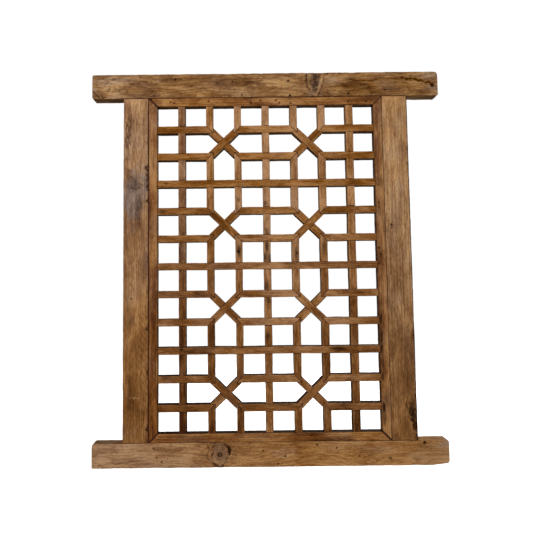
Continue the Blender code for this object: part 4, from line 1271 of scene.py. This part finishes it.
def make_camera():
    data = bpy.data.cameras.new("camera")
    camera = bpy.data.objects.new("camera", data)
    bpy.context.scene.collection.objects.link(camera)
    aim = Matrix.Rotation(CAMERA_YAW, 4, "Z") @ Matrix.Rotation(CAMERA_PITCH, 4, "X")
    aim = aim @ Matrix.Rotation(CAMERA_ROLL, 4, "Y")
    level = Matrix.Rotation(math.pi / 2, 4, "X")
    camera.matrix_world = Matrix.Translation(CAMERA_PLACE) @ aim @ level
    data.lens = CAMERA_LENS
    data.shift_x, data.shift_y = CAMERA_SHIFT
    bpy.context.scene.camera = camera


def make_light(name, place, aim, size, power):
    data = bpy.data.lights.new(name, "AREA")
    data.shape = "SQUARE"
    data.size = size
    data.energy = power
    light = bpy.data.objects.new(name, data)
    light.location = place
    light.rotation_euler = (Vector(aim) - Vector(place)).to_track_quat("-Z", "Y").to_euler()
    bpy.context.scene.collection.objects.link(light)


def make_stage_piece(name, mesh, material):
    """A floor or backdrop, which is seen but throws no light back on the screen."""
    piece = bpy.data.objects.new(name, mesh)
    piece.data.materials.append(material)
    piece.visible_diffuse = False
    piece.visible_glossy = False
    bpy.context.scene.collection.objects.link(piece)
    return piece


def make_studio():
    """A white floor and backdrop, soft light from the front and a weaker one behind."""
    world = bpy.data.worlds.new("studio")
    world.use_nodes = True
    background = world.node_tree.nodes["Background"]
    background.inputs["Color"].default_value = (1.0, 1.0, 1.0, 1.0)
    background.inputs["Strength"].default_value = 0.25
    bpy.context.scene.world = world
    bpy.context.scene.view_settings.view_transform = "Standard"
    middle = Vector((0.0, FRAME_FRONT, (LATTICE_TOP + LATTICE_BOTTOM) / 2))
    make_light("front softbox", middle + Vector((-1.0, -2.6, 1.1)), middle, 1.5, 72)
    make_light("back softbox", middle + Vector((0.9, 2.6, 0.8)), middle, 2.0, 45)

    paper = bpy.data.materials.new("white paper")
    paper.use_nodes = True
    paper_shader = paper.node_tree.nodes["Principled BSDF"]
    paper_shader.inputs["Base Color"].default_value = to_linear("fafafa")
    paper_shader.inputs["Roughness"].default_value = 0.95
    paper_shader.inputs["Emission Color"].default_value = (1.0, 1.0, 1.0, 1.0)
    paper_shader.inputs["Emission Strength"].default_value = 0.8
    floor_mesh = bpy.data.meshes.new("floor")
    floor_z = cad_box[0][2] - 0.25
    reach = 9.0
    floor_mesh.from_pydata(
        [(-reach, -reach, floor_z), (reach, -reach, floor_z), (reach, reach, floor_z), (-reach, reach, floor_z)],
        [], [(0, 1, 2, 3)])
    make_stage_piece("floor", floor_mesh, paper)

    glow = bpy.data.materials.new("white backdrop")
    glow.use_nodes = True
    glow_shader = glow.node_tree.nodes["Principled BSDF"]
    glow_shader.inputs["Base Color"].default_value = (0.0, 0.0, 0.0, 1.0)
    glow_shader.inputs["Emission Color"].default_value = (1.0, 1.0, 1.0, 1.0)
    glow_shader.inputs["Emission Strength"].default_value = 1.0
    ball = bmesh.new()
    bmesh.ops.create_uvsphere(ball, u_segments=48, v_segments=24, radius=reach)
    backdrop_mesh = bpy.data.meshes.new("backdrop")
    ball.to_mesh(backdrop_mesh)
    ball.free()
    backdrop = make_stage_piece("backdrop", backdrop_mesh, glow)
    backdrop.visible_shadow = False
    backdrop.visible_transmission = False


make_head_beam()
make_sill_beam()
make_left_stile()
make_right_stile()
make_strips()
make_rails()
make_posts()
make_diagonals()
make_camera()
make_studio()
